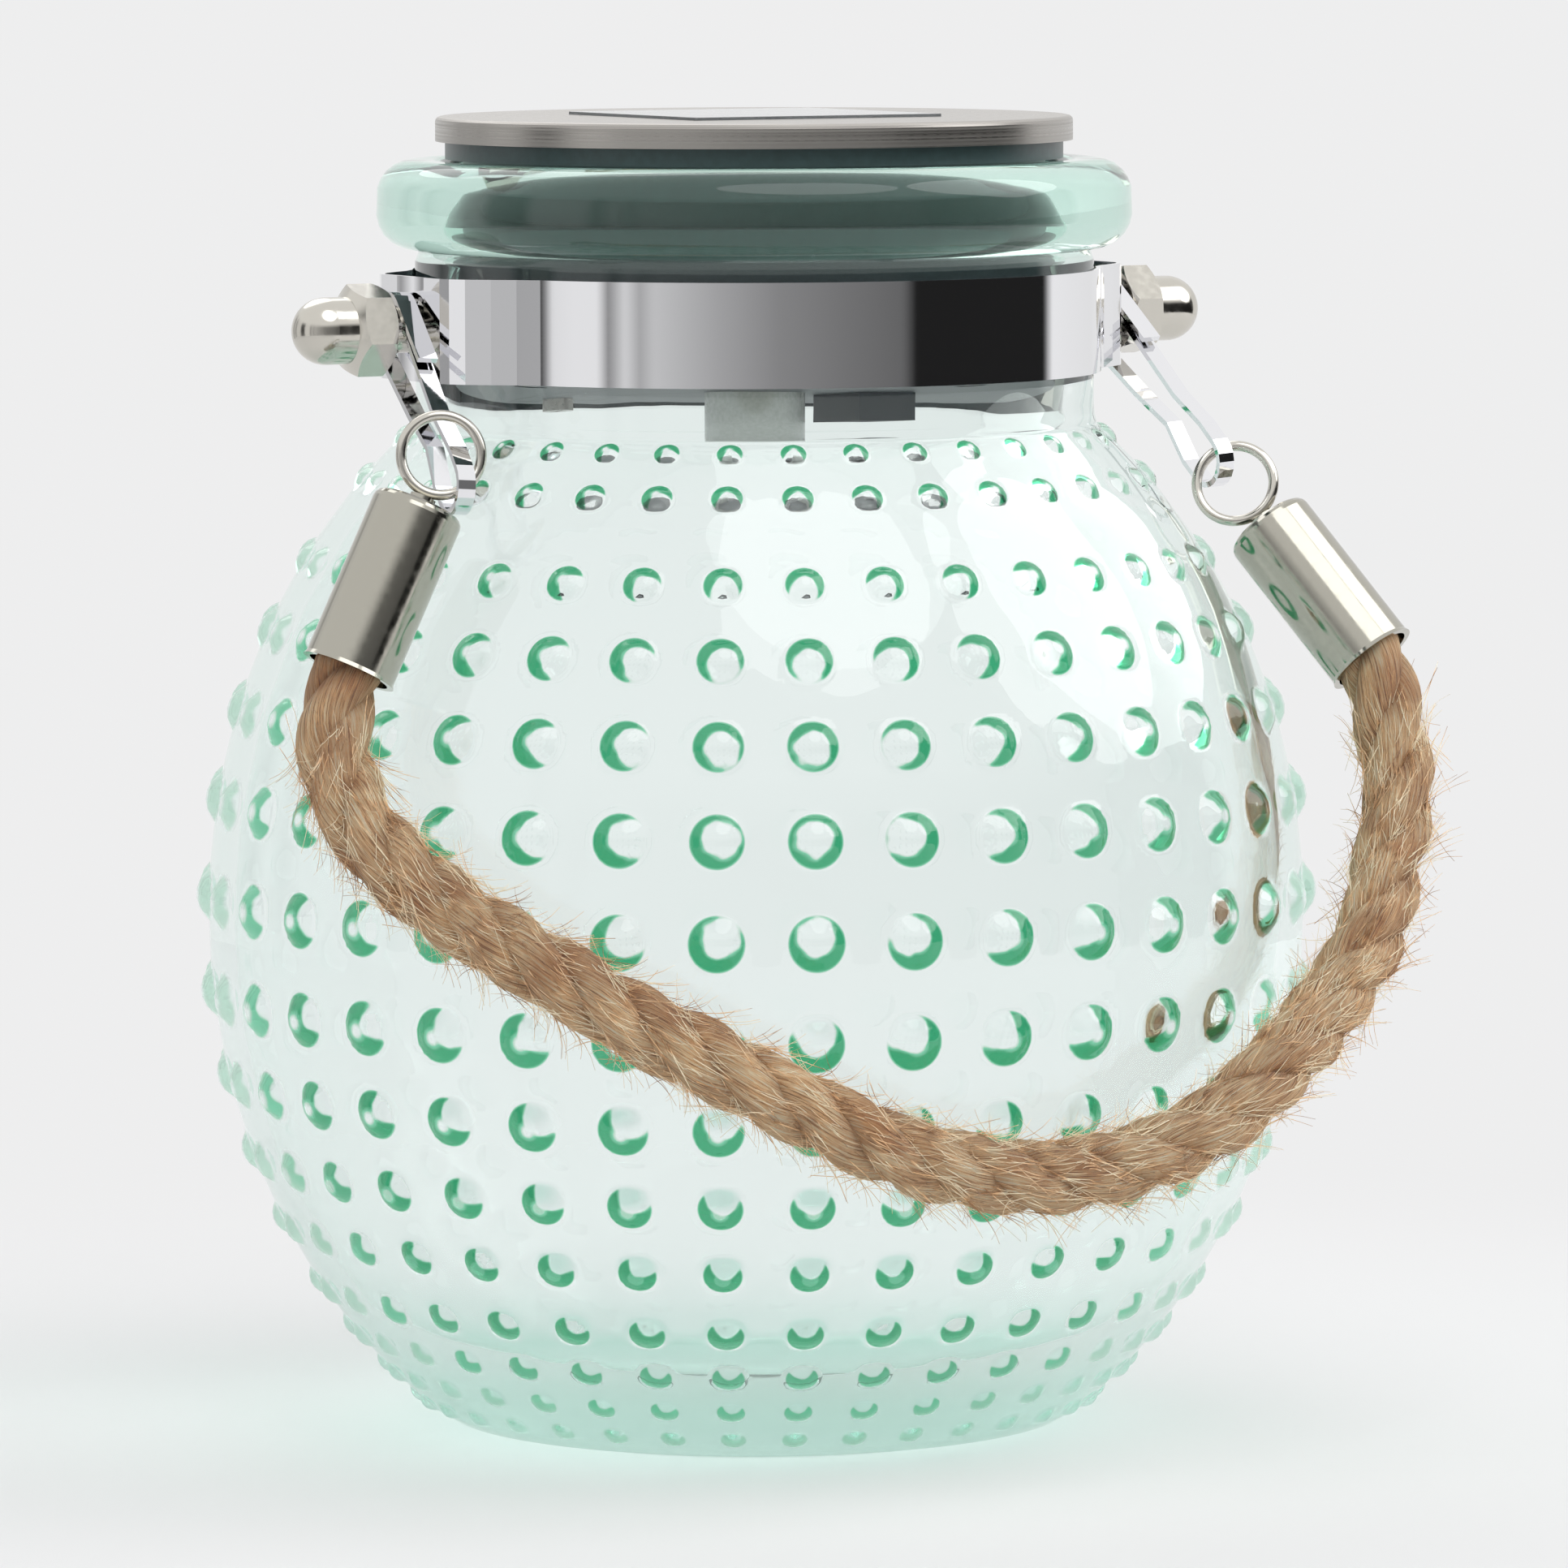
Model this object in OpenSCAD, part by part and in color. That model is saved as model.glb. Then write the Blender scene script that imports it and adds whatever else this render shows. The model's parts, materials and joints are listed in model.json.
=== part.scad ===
// Round hobnail glass jar lantern with a push-in solar lid and a rope handle.
// Millimetres, +Z up. The origin is the middle of the foot, on the table.
// +X runs along the two bolts that carry the handle, and the handle hangs towards -Y.

/* [Glass jar] */
// Radius of the glass body at its widest, over the crests of its bumps
body_r = 70.1; // [68:0.1:74]
// Half height of the oval that the glass follows
body_h = 77; // [74:0.5:82]
// How far the widest bumps stand out of the wall
bump_h = 2.1; // [1:0.1:3]
// Number of bumps round the jar in each row
bump_count = 36; // [24:1:36]
// Width of the widest bumps as a share of their spacing
bump_share = 0.7; // [0.5:0.01:0.75]
// Height of the widest place above the table
body_mid_z = 64; // [62:0.5:68]
// Thickness of the glass wall
wall = 3; // [2.2:0.1:4]
// Outer radius of the foot that stands on the table
foot_r = 33.5; // [30:0.5:36]
// Thickness of the glass floor
floor_t = 5; // [3:0.5:8]
// Outer radius of the straight neck
neck_r = 42; // [41:0.5:44]
// Thickness of the glass in the neck
neck_wall = 3.5; // [2.5:0.1:4.5]
// Height of the neck between the shoulder and the rolled lip
neck_len = 21.5; // [20:0.5:26]
// How far the rolled lip stands out of the neck
lip_out = 4.75; // [3.5:0.25:6]
// Height of the rolled lip
lip_h = 11; // [9:0.5:13]

/* [Neck strap] */
// Height of the strap
strap_h = 12.7; // [10:0.1:14]
// Thickness of the strap
strap_t = 0.6; // [0.4:0.1:1]
// Height of the strap's middle above the shoulder
strap_rise = 12.6; // [11.5:0.1:14]
// How far the boxed face over a bolt head stands out of the neck
strap_box_out = 5.4; // [5:0.1:7]
// Half width of the boxed face
strap_box_w = 8; // [7:0.5:9]

/* [Bolts and nuts] */
// Radius of the bolt shank
bolt_r = 2.9; // [2:0.1:3]
// Size of the bolt head and of the nut across flats
hex_size = 10; // [9:0.5:10]
// Thickness of the bolt head
head_t = 3; // [2:0.5:3.5]
// Height of the hexagon of the cap nut
nut_hex_h = 4.8; // [4:0.1:6]
// Height of the straight part of the dome
nut_neck_h = 2.7; // [2:0.1:4]
// Radius of the dome of the cap nut
nut_dome_r = 4.1; // [3.6:0.1:4.3]

/* [Clips] */
// Width of the clip's flat strip
clip_w = 2.2; // [1.8:0.1:2.4]
// Width of its outer hook
hook_w = 2.5; // [2:0.1:2.8]
// Thickness of the strip
clip_t = 0.7; // [0.5:0.05:0.9]
// Distance from the bolt to the middle of the clip's bottom loop
clip_len = 28.75; // [27:0.25:31]
// Lean of the clips forward of straight down
clip_lean = 51.5; // [48:0.5:54]
// Lean of each clip away from the jar
clip_flare = 6; // [4:0.5:6]

/* [Rings and end caps] */
// Outside diameter of a ring
ring_d = 10.9; // [10:0.1:12]
// Diameter of the ring's wire
ring_wire = 1.3; // [1:0.1:1.5]
// Outside diameter of a rope end cap
cap_d = 11.2; // [10.8:0.1:11.4]
// Length of a rope end cap
cap_len = 22; // [20:0.5:23]
// Wall of a rope end cap
cap_wall = 0.6; // [0.4:0.1:0.8]

/* [Rope] */
// Diameter of the rope
rope_d = 8.8; // [8:0.1:9]

/* [Lid] */
// How far the steel cap's edge lies inside the outer face of the neck
lid_inset = 2.6; // [1:0.1:2.8]
// Height of the steel cap
lid_h = 3; // [2.8:0.1:4]
// Thickness of the steel sheet
sheet_t = 0.5; // [0.4:0.05:0.8]
// Gap that the gasket's flange fills between the lip and the steel cap
gasket_h = 2.2; // [1.6:0.1:3]
// Side of the square solar window
window_w = 34; // [30:0.5:40]
// How far the window stands above the cap
window_proud = 0.35; // [0.2:0.05:0.6]
// Play between the gasket's ribs and the glass
lid_play = 0.2; // [0.1:0.05:0.3]

/* [Light module] */
// Play between the housing's lower drum and the glass of the neck
drum_play = 1.3; // [0.9:0.1:1.9]
// Height of the housing's lower drum
drum_h = 14.5; // [14:0.5:16]
// Length of the narrower tube between the drum and the lid
tube_h = 12; // [11.5:0.5:14]
// Wall of the housing
housing_wall = 1.6; // [1.2:0.1:2]
// Thickness of the base cover
cover_t = 2; // [1.6:0.1:2.4]
// Radius of the light diffuser
lens_r = 6.2; // [5.5:0.1:7]
// Length of the diffuser below the base cover
lens_len = 7.6; // [6:0.2:9]
// Travel of the switch slider
switch_travel = 2.5; // [2:0.1:3]
// Diameter of the battery
battery_d = 10.5; // [10.5:0.1:10.5]
// Length of the battery
battery_l = 44.5; // [44.5:0.1:44.5]

/* [Hidden] */

// Clearances
gap = 0.1;        // between pieces that slide or seat on each other
fit = 0.05;       // radial play of the bolts and screws
cut = 1;          // overrun of a cutting shape

// Colours
glass_green = [0.72, 0.92, 0.84, 0.45];
chrome = [0.78, 0.78, 0.8];
nickel = [0.72, 0.7, 0.66];
steel = [0.62, 0.61, 0.59];
jute = [0.72, 0.53, 0.36];
dark_plastic = [0.13, 0.14, 0.14];

function oval(a, b, lat) = [a * cos(lat), body_mid_z + b * sin(lat)];
function arc(c, r, a0, a1, n) =
  [for (i = [0:n]) c + r * [cos(a0 + (a1 - a0) * i / n), sin(a0 + (a1 - a0) * i / n)]];

// Heights of the jar, from the foot up
foot_rise = 0.9;
neck_in_r = neck_r - neck_wall;
glass_r = body_r - bump_h;
shoulder_lat = acos(neck_r / glass_r);
shoulder_z = body_mid_z + body_h * sin(shoulder_lat);
lip_z = shoulder_z + neck_len;
rim_z = lip_z + lip_h;
lip_r = neck_r + lip_out;
lip_round = 4.5;
rim_round = 1;
foot_lat = asin((foot_rise + 0.6 - body_mid_z) / body_h);

// Rows of bumps, from the foot up: latitude on the oval, and width against the widest
bump_turn = -92;
bump_sides = 6;
shoulder_ledge = 0.3;
bump_rows = [[-51.5, 0.74], [-47, 0.76], [-42, 0.79], [-36.5, 0.81], [-29.5, 0.8], [-22.5, 0.87],
  [-15, 0.94], [-7, 1], [2, 1], [11, 0.99], [19.5, 0.96], [27.5, 0.94], [35, 0.84],
  [44.5, 0.79], [50, 0.71]];

// Strap and bolts
strap_z = shoulder_z + strap_rise;
strap_in_r = neck_r + 0.3;
face_x = neck_r + strap_box_out;
face_in_x = face_x - strap_t;
box_lat = atan(strap_box_w / face_x);
box_end_lat = 25;
bolt_z = strap_z;
clip_room = 4;
nut_x = face_x + clip_room;
nut_len = nut_hex_h + nut_neck_h + nut_dome_r;
clip_x = face_x + clip_room / 2 - 0.05;
hex_r = hex_size / 2 / cos(30);

// Clip: s runs from the bolt to the loop, t to the front
hook_r = bolt_r + 1.3;
loop_r = 2.75 + clip_t / 2;
hook_end = 10.6;
tongue_start = 3.5;
tongue_t = hook_r - clip_t - 0.3;
hook_path = concat([[hook_end, hook_r]], arc([0, 0], hook_r, 90, 270, 12));
gate_path = concat([[0, -hook_r], [clip_len * 0.45, -2.8], [clip_len * 0.7, -1.6],
  [clip_len - 3.2, -loop_r]], arc([clip_len, 0], loop_r, -90, 90, 10),
  [[clip_len - 3.2, loop_r + 0.1], [clip_len * 0.67, 2.5], [tongue_start, tongue_t]]);

// Middle of the loop of the clip on one side
function loop_pos(side) = [side * (clip_x + clip_len * sin(clip_flare)),
  -clip_len * cos(clip_flare) * sin(clip_lean), bolt_z - clip_len * cos(clip_flare) * cos(clip_lean)];

// Rings: each hangs on its loop by the wire, and lies flat towards the front left
ring_r = (ring_d - ring_wire) / 2;
left_ring_off = [-0.352, 0.142, 0.781];
right_ring_off = [0.377, -0.596, -0.606];
left_ring_face = [-0.412, -0.894, 0.176];
right_ring_face = [-0.575, -0.763, 0.295];
left_cap_dir = [-0.4485, -0.018, -0.894];
right_cap_dir = [0.361, -0.56, -0.746];
left_ring_pos = loop_pos(-1) + ring_r * left_ring_off;
right_ring_pos = loop_pos(1) + ring_r * right_ring_off;
lug_r = 1.6;
lug_h = 0.9;
cap_from_ring = ring_d / 2 + gap / 2 + lug_h;
left_cap_pos = left_ring_pos + cap_from_ring * left_cap_dir / norm(left_cap_dir);
right_cap_pos = right_ring_pos + cap_from_ring * right_cap_dir / norm(right_cap_dir);

// Route of the rope, from inside the left end cap round the front of the jar to the right one
rope_route = [[-57.4, -21.8, 116.4], [-62, -22, 107.3], [-66.6, -22.2, 98.1], [-69.5, -24, 91],
  [-70, -28, 83.5], [-68, -34, 77], [-63, -42.5, 70.5], [-56.5, -50.5, 65], [-49, -57, 59.5],
  [-40.5, -63, 54], [-30.5, -67, 48.5], [-20, -70, 43], [-9, -71.5, 39.5], [2, -71.8, 38.3],
  [13.5, -71.3, 39.5], [24.5, -69.8, 43], [35, -67, 48.5], [46, -61, 55], [54.5, -56.5, 62],
  [60.5, -51.5, 71], [64, -48, 79], [65, -44.5, 87], [64.3, -40.9, 95.6], [60.5, -35, 103.4],
  [56.9, -29.4, 110.9]];
rope_sides = 12;

// Lid, from the lip up
lid_r = neck_r - lid_inset;
lid_seat_z = rim_z + gap;
cap_z = lid_seat_z + gasket_h;
lid_top_z = cap_z + lid_h;
plate_z = cap_z + 0.04;
plate_top_z = lid_top_z - sheet_t;
plate_r = lid_r - sheet_t - gap;
cell_t = 0.8;
window_z = plate_top_z - 0.8;
pocket_z = window_z - cell_t;
sleeve_gap = 2.5;
sleeve_t = 1.4;
gasket_sleeve_r = neck_in_r - sleeve_gap;
gasket_in_r = gasket_sleeve_r - sleeve_t;
gasket_flange_r = lid_r - 1.2;
gasket_rib_r = neck_in_r - lid_play;
gasket_len = 9;
rib_h = 1.2;

// Light module, from the lid down. Its own X axis lies along the jar's Y axis
module_turn = 90;
drum_r = neck_in_r - drum_play;
tube_r = gasket_in_r - gap;
drum_top_z = plate_z - tube_h;
drum_z = drum_top_z - drum_h;
cover_z = drum_z - cover_t;
drum_in_r = drum_r - housing_wall;
boss_r = 3;
boss_gap = 2.1;
screw_ring_r = drum_in_r - boss_r - boss_gap;
screw_r = 0.75;
screw_head_r = 1.9;
cover_screw_len = 7;
door_screw_len = 1.9;
board_z = drum_z + 6;
board_size = [34, 25, 1.2];
board_y = -7;
post_r = 2;
post_x = board_size[0] / 2 - 2 * post_r;
post_y = board_y - board_size[1] / 2 + 1.5 * post_r;
lead_x = 8;
lead_y = -8;
lead_r = 0.6;
door_t = 0.95;
battery_z = cover_z + 1.4 + battery_d / 2;
battery_x = 1.6;
tray_in = [battery_l + 4.5, battery_d + 0.7];
tray_wall = 1.2;
lens_flange_r = 6.9;
battery_y = lens_flange_r + 0.3 + tray_in[1] / 2 + tray_wall;
tray_top_z = battery_z + battery_d / 2 + 0.3 + tray_wall;
door_size = [tray_in[0] + 0.6, tray_in[1] + 1.2];
door_tab = 5;
spring_r = 3.2;
spring_wire = 0.5;
spring_turns = 3;
boss_size = [12, 8];
boss_h = 3.1;
switch_y = -15.5;
knob_size = [3.6, 2.6];
lens_wall = 1.2;

// Sweeps a round section of radius r along the points of a route, as one closed shape
function unit(v) = v / norm(v);
function heading(p, i) =
  unit(i == 0 ? p[1] - p[0] : i == len(p) - 1 ? p[i] - p[i - 1] : p[i + 1] - p[i - 1]);
function carry(side, along) = unit(side - (side * along) * along);
function frames(p, i, side) =
  i == len(p) ? [] : let (s = carry(side, heading(p, i))) concat([s], frames(p, i + 1, s));

module sweep(route, r, sides) {
  side = frames(route, 0, [1, 0.2, 0.1]);
  rings = len(route);
  pts = [for (i = [0:rings - 1], k = [0:sides - 1])
    let (u = side[i], v = cross(heading(route, i), u), a = k * 360 / sides)
    route[i] + r * (cos(a) * u + sin(a) * v)];
  walls = [for (i = [0:rings - 2], k = [0:sides - 1])
    let (a = i * sides + k, b = i * sides + (k + 1) % sides) [a, a + sides, b + sides, b]];
  start_face = [for (k = [0:sides - 1]) k];
  end_face = [for (k = [sides - 1:-1:0]) (rings - 1) * sides + k];
  polyhedron(points = pts, faces = concat([start_face, end_face], walls), convexity = 6);
}

// Turns an upright shape so that its Z axis points along v
module along(v) {
  rotate([0, acos(v[2] / norm(v)), atan2(v[1], v[0])]) children();
}

// Outline of a bent strip of thickness t along a path
function step_dir(p, i) = unit(p[min(i + 1, len(p) - 1)] - p[min(i, len(p) - 2)]);
function mitre(p, i) = let (a = step_dir(p, max(i - 1, 0)), b = step_dir(p, i), m = unit(a + b))
  [-m[1], m[0]] / (m * b);
function strip(p, t) = concat([for (i = [0:len(p) - 1]) p[i] + mitre(p, i) * t / 2],
  [for (i = [len(p) - 1:-1:0]) p[i] - mitre(p, i) * t / 2]);

// Glass -----------------------------------------------------------------

// Spots on the oval, and the size and place of the bumps of one row
function wall_spot(lat, turn, r) = [r * cos(turn), r * sin(turn), body_mid_z + body_h * sin(lat)];
function row_half(i) =
  bump_share * bump_rows[i][1] * PI * glass_r * cos(bump_rows[i][0]) / bump_count;
function row_rate(i) =
  norm([glass_r * sin(bump_rows[i][0]), body_h * cos(bump_rows[i][0])]) * PI / 180;
function bump_edge(i, turn, side, up) = let (lat = bump_rows[i][0] + up / row_rate(i))
  wall_spot(lat, turn + side / (glass_r * cos(lat)) * 180 / PI, glass_r * cos(lat));
function bump_top(i, turn) = let (lat = bump_rows[i][0],
  rise = bump_h * row_half(i) * bump_count / (bump_share * PI * glass_r))
  wall_spot(lat, turn, glass_r * cos(lat))
    + rise * unit([cos(lat) * cos(turn) / glass_r, cos(lat) * sin(turn) / glass_r, sin(lat) / body_h]);

// Body of the jar as one closed shape, with a low pyramid at the place of every bump
module bumpy_body() {
  n = bump_count;
  m = bump_sides;
  rows = len(bump_rows);
  pitch = 360 / n;
  mids = [for (i = [0:rows - 2]) (bump_rows[i][0] + bump_rows[i + 1][0]) / 2];
  edges = concat([foot_lat], mids, [shoulder_lat]);
  corners = [for (j = [0:rows], k = [0:n - 1]) wall_spot(edges[j], bump_turn + (k - 0.5) * pitch,
    j == rows ? neck_r + shoulder_ledge : glass_r * cos(edges[j]))];
  bumps = [for (i = [0:rows - 1], k = [0:n - 1], s = [0:m]) let (turn = bump_turn + k * pitch)
    s == m ? bump_top(i, turn)
    : bump_edge(i, turn, row_half(i) * cos(s * 360 / m), row_half(i) * sin(s * 360 / m))];
  walls = [for (i = [0:rows - 1], k = [0:n - 1])
    let (sw = i * n + k, se = i * n + (k + 1) % n, nw = sw + n, ne = se + n,
      r = len(corners) + (i * n + k) * (m + 1))
    each [[se, r, ne], [ne, r, r + 1], [ne, r + 1, nw], [nw, r + 1, r + 2], [nw, r + 2, r + 3],
      [nw, r + 3, sw], [sw, r + 3, r + 4], [sw, r + 4, se], [se, r + 4, r + 5], [se, r + 5, r],
      for (s = [0:m - 1]) [r + s, r + m, r + (s + 1) % m]]];
  floor_face = [for (k = [0:n - 1]) k];
  roof_face = [for (k = [n - 1:-1:0]) rows * n + k];
  polyhedron(points = concat(corners, bumps), faces = concat([floor_face, roof_face], walls),
    convexity = 8);
}

module glass_jar() {
  in_r = glass_r - wall;
  in_h = body_h - wall;
  in_top = acos(min(1, neck_in_r / in_r));
  floor_lat = asin((floor_t + 2 - body_mid_z) / in_h);
  foot_top = body_mid_z + body_h * sin(foot_lat);
  foot_top_r = glass_r * cos(foot_lat) - 0.3;
  color(glass_green) difference() {
    union() {
      bumpy_body();
      rotate_extrude($fn = 144) polygon([[0, 0], [foot_r, 0], [foot_top_r, foot_top],
        [foot_top_r, foot_top + 1], [0, foot_top + 1]]);
      rotate_extrude($fn = 144) polygon(concat([[0, shoulder_z - 2], [neck_r, shoulder_z - 2],
        [neck_r, lip_z - 0.4]],
        arc([lip_r - lip_round, lip_z + lip_round], lip_round, -75, 0, 4),
        arc([lip_r - lip_round, rim_z - lip_round], lip_round, 0, 90, 5), [[0, rim_z]]));
    }
    rotate_extrude($fn = 144) polygon(concat([[0, floor_t], [foot_r - 3, floor_t]],
      [for (i = [0:12]) oval(in_r, in_h, floor_lat + (in_top - floor_lat) * i / 12)],
      [[neck_in_r, rim_z - rim_round], [neck_in_r + rim_round, rim_z],
      [neck_in_r + rim_round, rim_z + cut], [0, rim_z + cut]]));
    rotate_extrude($fn = 144)
      polygon([[0, -cut], [foot_r - 4, -cut], [foot_r - 4, foot_rise], [0, foot_rise]]);
  }
}

// Strap and its fasteners -----------------------------------------------

// Radius of the strap's wall in a direction, round the neck and out over a bolt head
function blend(x) = x * x * (3 - 2 * x);
function strap_wall(a, r, x) = let (lat = min(abs(a % 180), 180 - abs(a % 180)))
  lat <= box_lat ? x / cos(lat)
  : lat >= box_end_lat ? r
  : x / cos(box_lat) + (r - x / cos(box_lat)) * blend((lat - box_lat) / (box_end_lat - box_lat));
function strap_outline(r, x) = let (half = concat([-box_end_lat, -21, -17.5, -14, -11.5, -box_lat,
  box_lat, 11.5, 14, 17.5, 21, box_end_lat], [for (a = [30:5:150]) a]))
  [for (turn = [0, 180], a = half) strap_wall(a, r, x) * [cos(a + turn), sin(a + turn)]];

module neck_strap() {
  color(chrome) translate([0, 0, strap_z]) difference() {
    translate([0, 0, -strap_h / 2]) linear_extrude(height = strap_h) difference() {
      polygon(strap_outline(strap_in_r + strap_t, face_x));
      polygon(strap_outline(strap_in_r, face_in_x));
    }
    rotate([0, 90, 0]) cylinder(r = bolt_r + fit, h = 2 * (face_x + cut), center = true, $fn = 48);
  }
}

module bolt(side) {
  color(nickel) translate([side * face_in_x, 0, bolt_z]) rotate([0, side * 90, 0]) union() {
    translate([0, 0, -head_t]) cylinder(r = hex_r, h = head_t, $fn = 6);
    cylinder(r = bolt_r, h = strap_t + clip_room + nut_hex_h + nut_neck_h - 1, $fn = 48);
  }
}

module cap_nut(side) {
  hex_corner = hex_r - 0.75;
  color(nickel) translate([side * nut_x, 0, bolt_z]) rotate([0, side * 90, 0]) difference() {
    union() {
      intersection() {
        rotate([0, 0, 15]) cylinder(r = hex_r, h = nut_hex_h, $fn = 6);
        rotate_extrude($fn = 72) polygon([[0, 0], [hex_corner, 0], [hex_r + 0.1, 0.6],
          [hex_r + 0.1, nut_hex_h - 1], [nut_dome_r, nut_hex_h], [0, nut_hex_h]]);
      }
      translate([0, 0, nut_hex_h - 0.5]) cylinder(r = nut_dome_r, h = nut_neck_h + 0.5, $fn = 64);
      translate([0, 0, nut_hex_h + nut_neck_h]) sphere(r = nut_dome_r, $fn = 64);
    }
    translate([0, 0, -cut]) cylinder(r = bolt_r + fit, h = nut_hex_h + nut_neck_h + cut, $fn = 48);
  }
}

module left_bolt() { bolt(-1); }
module right_bolt() { bolt(1); }
module left_cap_nut() { cap_nut(-1); }
module right_cap_nut() { cap_nut(1); }

// Clips, rings and rope -------------------------------------------------

module clip(side) {
  color(chrome) translate([side * clip_x, 0, bolt_z]) rotate([180 - clip_lean, 0, 0])
    rotate([0, -90, 0]) rotate([0, side * clip_flare, 0]) union() {
      linear_extrude(height = hook_w, center = true) polygon(strip(hook_path, clip_t));
      linear_extrude(height = clip_w, center = true) polygon(strip(gate_path, clip_t));
    }
}

module ring(pos, face) {
  color(nickel) translate(pos) along(face)
    rotate_extrude($fn = 72) translate([ring_r, 0]) circle(d = ring_wire, $fn = 24);
}

module end_cap(pos, dir) {
  bore_r = cap_d / 2 - cap_wall;
  color(nickel) translate(pos) along(dir) difference() {
    union() {
      rotate_extrude($fn = 72) polygon(concat([[0, 0]], arc([cap_d / 2 - 1.2, 1.2], 1.2, -90, 0, 4),
        [[cap_d / 2, cap_len - 0.5], [cap_d / 2 + 0.2, cap_len], [0, cap_len]]));
      translate([0, 0, -lug_h]) cylinder(r = lug_r, h = lug_h + 0.5, $fn = 36);
    }
    translate([0, 0, cap_wall + 0.4]) cylinder(r = bore_r, h = cap_len, $fn = 48);
  }
}

module left_clip() { clip(-1); }
module right_clip() { clip(1); }
module left_ring() { ring(left_ring_pos, left_ring_face); }
module right_ring() { ring(right_ring_pos, right_ring_face); }
module left_end_cap() { end_cap(left_cap_pos, left_cap_dir); }
module right_end_cap() { end_cap(right_cap_pos, right_cap_dir); }
module rope() { color(jute) sweep(rope_route, rope_d / 2, rope_sides); }

// Lid -------------------------------------------------------------------

module square_prism(w, h) {
  translate([-w / 2, -w / 2, 0]) cube([w, w, h]);
}

module lid_cap() {
  color(steel) difference() {
    rotate_extrude($fn = 120) polygon(concat([[0, cap_z], [lid_r, cap_z]],
      arc([lid_r - 0.6, lid_top_z - 0.6], 0.6, 0, 90, 3), [[0, lid_top_z]]));
    translate([0, 0, cap_z - cut])
      cylinder(r = lid_r - sheet_t, h = lid_h - sheet_t + cut, $fn = 120);
    translate([0, 0, cap_z]) square_prism(window_w + 2 * gap, lid_h + cut);
  }
}

module solar_window() {
  color([0.5, 0.55, 0.6, 0.5]) translate([0, 0, window_z])
    square_prism(window_w, lid_top_z + window_proud - window_z);
}

module solar_cell() {
  color([0.06, 0.07, 0.16]) translate([0, 0, pocket_z]) square_prism(window_w - 1, cell_t);
}

module lid_gasket() {
  low_z = lid_seat_z - gasket_len;
  color([0.7, 0.78, 0.76, 0.7]) rotate_extrude($fn = 96) difference() {
    union() {
      translate([gasket_in_r, low_z])
        square([gasket_sleeve_r - gasket_in_r, gasket_len + gasket_h]);
      translate([gasket_in_r, lid_seat_z]) square([gasket_flange_r - gasket_in_r, gasket_h]);
      for (z = [low_z + 0.8, low_z + 4.4]) {
        translate([gasket_in_r, z]) square([gasket_rib_r - gasket_in_r, rib_h]);
      }
    }
  }
}

// Light module ----------------------------------------------------------

module screw_places() {
  for (a = [90, 210, 330]) rotate([0, 0, a]) translate([screw_ring_r, 0, 0]) children();
}

module lead_places() {
  for (x = [-lead_x, lead_x]) translate([x, lead_y, 0]) children();
}

module module_housing() {
  color(dark_plastic) rotate([0, 0, module_turn]) difference() {
    union() {
      difference() {
        union() {
          translate([0, 0, plate_z]) cylinder(r = plate_r, h = plate_top_z - plate_z, $fn = 96);
          translate([0, 0, drum_top_z]) cylinder(r = tube_r, h = tube_h, $fn = 96);
          translate([0, 0, drum_z]) cylinder(r = drum_r, h = drum_top_z - drum_z, $fn = 96);
        }
        translate([0, 0, drum_z - cut])
          cylinder(r = drum_in_r, h = drum_h - housing_wall + cut, $fn = 96);
        translate([0, 0, drum_z])
          cylinder(r = tube_r - housing_wall, h = plate_z - drum_z - housing_wall, $fn = 96);
      }
      screw_places() translate([0, 0, drum_z])
        cylinder(r = boss_r, h = drum_h - housing_wall + 0.5, $fn = 32);
    }
    translate([0, 0, pocket_z]) square_prism(window_w + 2 * gap, plate_top_z - pocket_z + cut);
    screw_places() translate([0, 0, drum_z - cut])
      cylinder(r = screw_r + fit, h = cover_screw_len + 1 + cut, $fn = 24);
    lead_places() translate([0, 0, drum_top_z])
      cylinder(r = lead_r + 0.2, h = plate_top_z - drum_top_z, $fn = 24);
  }
}

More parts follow.
